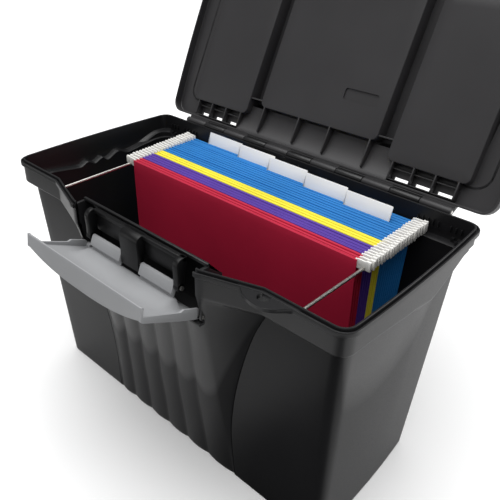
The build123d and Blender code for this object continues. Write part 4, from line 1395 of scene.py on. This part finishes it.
@dataclass
class Lid:
    """Organiser lid, built closed and turned open, with its doors and handle."""

    angle: float = -116.0
    deck: float = 269.6
    top: float = 279.5
    low: float = 260.6
    nose_half: float = 76.4

    def open(self) -> Callable[[Point], Point]:
        """The turn that opens the lid."""
        return turn_x(*HINGE_AXIS, self.angle)

    def edge(self, tub: Tub) -> Piece:
        """Skirt and outer deck, following the tub's rim.

        Args:
            tub: The tub, for its plan.

        Returns:
            The edge shell with the latch notch cut out.
        """
        rows = ((0.6, 268.8), (0.5, 260.0), (0.8, 259.6), (2.0, 259.6), (2.4, 260.1), (2.4, 269.0), (1.9, 270.6),
                (0.8, 271.7), (-0.8, 272.0), (-30.0, 272.0), (-30.0, self.deck), (-1.6, self.deck), (0.0, 269.4),
                (0.6, 268.8))
        rings = [tub.ring(tub.rim_plan, grow, z) for grow, z in rows]
        made = Shape("lid_edge").rings(rings).object(PALETTE.lid, sharp=34.0)
        notch = Shape("cutter").block(-80.5, 80.5, -140.0, -110.8, 250.0, 290.0).object(PALETTE.lid)
        slots = Shape("slots")
        for i in range(3):
            x = 113.0 + 23.2 * i
            slots.block(x - 7.5, x + 7.5, 95.3, 98.1, 260.0, 280.0)
        slots.mirrored()
        carve(made, [notch, slots.object(PALETTE.lid)])
        shade(made, 34.0)
        return made

    def tray(self, name: str, limits: tuple[float, float, float, float]) -> Piece:
        """Open tray that hangs below the deck.

        Args:
            name: Object name.
            limits: x0, x1, y0, y1.

        Returns:
            The tray.
        """
        low, top, wall = self.low, self.top, 2.2
        rings = rounded_rings(limits, 7.0, (
            (12.0, low), (1.4, low), (0.5, low + 0.35), (0.0, low + 1.3), (0.0, top - 0.5), (0.4, top),
            (wall - 0.3, top), (wall, top - 0.4), (wall, low + wall + 1.0), (wall + 1.0, low + wall),
            (12.0, low + wall)))
        made = Shape(name).rings(rings, True, True).object(PALETTE.lid, sharp=34.0)
        if name == "console":
            notch = Shape("cutter").prism_z(rounded_outline(24.0, 64.0, 25.0, 37.0, 2.5, 4), 250.0, low + 1.5)
            carve(made, [notch.object(PALETTE.lid)])
            shade(made, 34.0)
        return made

    def crown(self) -> Piece:
        """Raised middle of the lid around the trays.

        Returns:
            The middle.
        """
        top, under = self.top, 277.2
        wall = Shape("lid_crown").rings(rounded_rings((-196, 196, -95, 84), 16, (
            (0.0, 271.0), (0.0, 278.4), (0.4, 279.2), (1.3, top), (10.0, top), (10.0, under), (2.6, 277.1),
            (2.3, 276.6), (2.3, self.deck), (0.0, self.deck), (0.0, 271.0))))
        made = wall.object(PALETTE.lid, sharp=34.0)
        plate = Shape("lid_plate")
        for x0, x1, y0, y1 in ((-187, -178.5, -86, 75), (178.5, 187, -86, 75), (-95, -75.5, -86, 75),
                               (75.5, 95, -86, 75), (-187, 187, 66.5, 75), (-187, -90, -86, -80.5),
                               (90, 187, -86, -80.5), (-95, 95, -90, -86)):
            plate.block(x0, x1, y0, y1, under, top)
        return merge("lid_crown", [made, plate.object(PALETTE.lid)])

    def ribs(self) -> list[Piece]:
        """Ribs, slot boxes, hinge strip and nose on the lid's underside.

        Returns:
            The parts.
        """
        made: list[Piece] = []
        shape = Shape("lid_ribs")
        middle = [(97.0, 262.2), (96.0, 260.6), (67.5, 260.6), (67.5, 271.0), (97.0, 271.0)]
        outer = [(99.0, 262.4), (98.0, 260.9), (81.0, 260.9), (81.0, 271.0), (99.0, 271.0)]
        for outline, places in ((middle, (20.4, 70.0)), (outer, (101.8, 125.0, 147.8, 170.6))):
            for x in places:
                shape.prism_x(outline, x - 0.8, x + 0.8)
        shape.block(76.5, 94.0, 61.2, 62.8, 262.0, 278.0)
        shape.mirrored()
        for x0, x1 in ((-171.4, -101.0), (101.0, 171.4)):
            shape.block(x0, x1, 98.2, 99.2, 262.0, 271.0)
            shape.block(x0, x1, 87.0, 88.2, 265.0, 271.0)
        made.append(shape.object(PALETTE.lid, bevel=0.3))
        fillet = Shape("deck_fillet").prism_x([(72.0, 269.7), (79.0, 269.2), (85.0, 268.2), (90.0, 266.8),
                                               (94.0, 265.2), (97.4, 263.4), (100.2, 261.4), (102.2, 261.4),
                                               (102.2, 270.0), (72.0, 270.0)], -100.9, 100.9)
        made.append(fillet.object(PALETTE.lid, sharp=60.0))
        strip = Shape("hinge_strip").prism_x([(100.6, 260.4), (100.6, 264.0), (108.0, 263.0), (108.0, 260.9)],
                                             -176.0, 176.0)
        made.append(strip.object(PALETTE.lid, bevel=0.3))
        ridge = Shape("hinge_ridges").prism_x([(100.7, 260.7), (101.3, 259.75), (101.9, 259.75), (102.3, 260.7)],
                                              -176.0, 176.0).object(PALETTE.lid, bevel=0.15)
        made.append(ROWS.row(ridge, 3, (0, 2.4, 0.15)))
        nose, half = Shape("lid_nose"), self.nose_half
        for limits in ((-half, half, -117.5, -115.1, 263.6, 277.8), (-half, half, -117.4, -94.0, 275.6, 278.0),
                       (-half, -74.0, -117.4, -94.0, 263.6, 277.9), (74.0, half, -117.4, -94.0, 263.6, 277.9),
                       (-half, half, -110.9, -94.0, self.deck, 272.0)):
            nose.block(*limits)
        made.append(nose.object(PALETTE.lid, bevel=0.5))
        return made

    def knuckles(self) -> Piece:
        """Hinge knuckles of the lid.

        Returns:
            The knuckles.
        """
        shape = Shape("lid_knuckles")
        for x0, x1 in knuckle_spans(0):
            shape.rod_x(4.0, x0, x1, *HINGE_AXIS, 24)
            shape.prism_x([(101.4, 259.9), (101.4, 270.0), (112.4, 259.8), (106.0, 259.9)], x0, x1)
        return shape.object(PALETTE.lid, bevel=0.2)

    def doors(self) -> None:
        """Build and dress the organiser doors."""
        for side, node in ((Side.LEFT, "organizer_door_left"), (Side.RIGHT, "organizer_door_right")):
            s = side.value
            limits = (*sorted((s * 90.9, s * 182.6)), -84.6, 84.6)
            shape = Shape(f"panel_{node}")
            shape.rings(rounded_rings(limits, 7.0, ((0.5, 279.7), (0.0, 280.1), (0.0, 281.2), (0.5, 281.7),
                                                    (5.0, 281.7), (5.8, 281.1), (20.0, 281.1))), True, True)
            x0, x1 = sorted((s * 100.0, s * 173.5))
            shape.rod_x(2.7, x0, x1, 87.8, 275.6, 24)
            shape.prism_x([(85.1, 275.6), (85.1, 279.7), (82.0, 279.7), (82.0, 281.6), (87.3, 281.6),
                           (89.2, 277.6)], x0, x1)
            shape.moved(self.open())
            body = "left_door" if side is Side.LEFT else "right_door"
            dress(shape.object(PALETTE.lid, bevel=0.15), body, "lid_plastic", node)

    def handle(self) -> None:
        """Build and dress the folded carry handle."""
        shape = Shape("grip_handle")
        low, high = 265.5, 274.5
        shape.prism_z(rounded_outline(-64.0, 64.0, -51.0, -37.0, 4.0), low, high)
        for s in (-1, 1):
            x0, x1 = sorted((s * 56.0, s * 64.0))
            shape.block(x0, x1, -44.0, 4.0, low, high)
            shape.rod_x(4.5, x0, x1, 4.0, 270.0, 24)
        handle = shape.moved(self.open()).object(PALETTE.lid, bevel=1.2, segments=3)
        dress(handle, "handle", "lid_plastic", "carry_handle")

    def build(self, tub: Tub) -> None:
        """Build and dress the lid with its doors and handle.

        Args:
            tub: The tub, for the rim's plan.
        """
        pieces = [self.edge(tub), self.crown(),
                  self.tray("left_tray", (-180.0, -93.5, -82.0, 82.0)),
                  self.tray("right_tray", (93.5, 180.0, -82.0, 82.0)),
                  self.tray("console", (-77.0, 77.0, -92.0, 68.5)),
                  *self.ribs(), self.knuckles()]
        lid = merge("organiser_lid", pieces)
        away, back = (Matrix.Translation([0, *(way * c * MM for c in HINGE_AXIS)]) for way in (1, -1))
        lid.data.transform(away @ Matrix.Rotation(math.radians(self.angle), 4, "X") @ back)
        dress(lid, "lid", "lid_plastic", "lid")
        self.doors()
        self.handle()


# ------------------------------------------------------------------ studio

@dataclass
class Studio:
    """Floor, world, lamps and camera."""

    lens: float = 45.19512
    sensor: float = 36.0
    shift: Flat = (0.05268, -0.00308)
    yaw: float = 44.45
    pitch: float = 31.17
    roll: float = 0.12
    camera_at: Point = (381.58, -396.74, 524.97)
    fill: float = 0.42       # strength of the surroundings for diffuse light
    gloss: float = 0.12      # and in reflections
    shade_patch_at: Flat = (0.34, -0.34)      # dark patch painted on the floor as shade for reflections and bounce light, in metres
    shade_patch_size: Flat = (0.14, 0.40)
    floor_colour: Point = (0.69, 0.69, 0.69)
    shade_patch_colour: Point = (0.05, 0.05, 0.05)

    def seen_strength(self, nodes: Nodes) -> Socket:
        """Strength that is 1 for the camera, low for gloss and the fill level for other light.

        Args:
            nodes: Nodes of the world.

        Returns:
            The strength.
        """
        path = nodes.add("ShaderNodeLightPath").outputs
        level: float | Socket = self.fill
        for output, strength in (("Is Glossy Ray", self.gloss), ("Is Camera Ray", 1.0), ("Is Transmission Ray", 1.0)):
            level = nodes.out("Result", "ShaderNodeMix", {"Factor": path[output], "A": level, "B": strength},
                              data_type="FLOAT")
        return level

    def world(self) -> None:
        """White surroundings."""
        world = bpy.data.worlds.new("white room")
        bpy.context.scene.world = world
        world.use_nodes = True
        nodes = Nodes(world.node_tree)
        nodes.fill(world.node_tree.nodes["Background"],
                   {"Color": (1.0, 1.0, 1.0, 1.0), "Strength": self.seen_strength(nodes)})

    def floor(self) -> None:
        """Pale floor that keeps the shadow; for reflections and bounce light it is greyer and carries a painted dark
        patch.
        """
        mesh = bpy.data.meshes.new("floor")
        mesh.from_pydata([(-6, -6, 0), (6, -6, 0), (6, 6, 0), (-6, 6, 0)], [], [(0, 1, 2, 3)])
        made = bpy.data.materials.new("pale floor")
        made.use_nodes = True
        nodes = Nodes(made.node_tree)
        # reflections and bounce light see a grey floor with the painted dark patch; the camera sees it white
        lit = nodes.between(self.shade_patch_mask(nodes), self.floor_colour, self.shade_patch_colour)
        seen = nodes.between(nodes.out("Is Camera Ray", "ShaderNodeLightPath"), lit, (0.97, 0.97, 0.97))
        nodes.fill(made.node_tree.nodes["Principled BSDF"],
                   {"Base Color": seen, "Roughness": 0.9, "Specular IOR Level": 0.1})
        mesh.materials.append(made)
        stand("floor", mesh)

    def shade_patch_mask(self, nodes: Nodes) -> Socket:
        """Soft-edged dark patch painted on the floor between the box and the camera, with a dark zone in front of the
        box that is strongest on the left: painted shade that only reflections and bounce light see, since the camera
        sees the floor white.

        Args:
            nodes: Nodes of the floor's material.

        Returns:
            Mask that is 1 where the painted shade is full.
        """
        place = nodes.place()
        # card is the painted dark patch, not a real card that the camera could see
        card = nodes.out("Vector", "ShaderNodeMapping", {
            "Vector": place, "Location": (*self.shade_patch_at, 0.0), "Rotation": (0.0, 0.0, math.radians(45)),
            "Scale": (*self.shade_patch_size, 1.0)}, vector_type="TEXTURE")
        away = nodes.out("Value", "ShaderNodeVectorMath", {0: card}, operation="LENGTH")
        split = nodes.add("ShaderNodeSeparateXYZ", {"Vector": place}).outputs
        front = nodes.maths("MULTIPLY", nodes.ranged(split["Y"], 0.95, 0.0, -0.40, -0.19),
                            nodes.ranged(split["X"], 1.0, 0.35, -0.34, -0.14))
        return nodes.maths("MAXIMUM", nodes.ranged(away, 1.0, 0.0, 0.85, 1.08), front)

    @staticmethod
    def lamp(name: str, place: Point, aim: Point, size: Flat, power: float) -> None:
        """Add a soft box.

        Args:
            name: Lamp name.
            place: Position in metres.
            aim: Point that it faces.
            size: Width and height in metres.
            power: Power in watts.
        """
        data = bpy.data.lights.new(name, "AREA")
        data.shape = "RECTANGLE"
        data.size, data.size_y = size
        data.energy = power
        lamp = stand(name, data)
        lamp.location = place
        lamp.rotation_euler = (Vector(aim) - Vector(place)).to_track_quat("-Z", "Y").to_euler()

    @staticmethod
    def sun(towards: Point, strength: float) -> None:
        """Add the broad light from above.

        Args:
            towards: Direction that it comes from.
            strength: Strength.
        """
        data = bpy.data.lights.new("overhead light", "SUN")
        data.angle = math.radians(70)
        data.energy = strength
        lamp = stand("overhead light", data)
        lamp.rotation_euler = Vector(towards).to_track_quat("Z", "Y").to_euler()

    def camera(self) -> None:
        """Set the camera."""
        yaw, pitch = math.radians(self.yaw), math.radians(self.pitch)
        back = Vector((math.sin(yaw) * math.cos(pitch), -math.cos(yaw) * math.cos(pitch), math.sin(pitch)))
        right = Vector((math.cos(yaw), math.sin(yaw), 0.0))
        turn = Matrix((right, back.cross(right), back)).transposed() @ Matrix.Rotation(math.radians(self.roll), 3, "Z")
        data = bpy.data.cameras.new("camera")
        data.sensor_width = self.sensor
        data.lens = self.lens
        data.shift_x, data.shift_y = self.shift
        camera = stand("camera", data)
        camera.matrix_world = Matrix.Translation([c * MM for c in self.camera_at]) @ turn.to_4x4()
        bpy.context.scene.camera = camera

    def build(self) -> None:
        """Set up the whole studio."""
        self.world()
        self.floor()
        self.lamp("right soft box", (1.5, 1.0, 0.35), (0.2, 0.0, 0.12), (1.4, 0.9), 7.5)
        self.lamp("front soft box", (-1.25, -1.6, 0.5), (0.0, 0.1, 0.3), (1.5, 0.9), 4.0)
        self.sun((-0.03, -0.05, 1.0), 3.0)
        self.camera()
        bpy.context.scene.view_settings.view_transform = "Standard"


def dress_cad() -> None:
    """Give the carried-over CAD rods and pins their steel."""
    for name in ("hinge_rod", "latch_pin", "flap_pivot_pins", "door_rod_left", "door_rod_right", "handle_pins"):
        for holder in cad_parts[name].material_slots:
            holder.material = PALETTE.steel
        log.info("%s: CAD node in steel", name)


def main() -> None:
    """Build the whole box and its studio."""
    logging.basicConfig(level=logging.INFO, format="%(name)s %(message)s")
    tub = Tub()
    tub.build()
    Rails().build()
    Filing().build()
    Latch().build()
    Lid().build(tub)
    dress_cad()
    Studio().build()


if __name__ == "__main__":
    main()
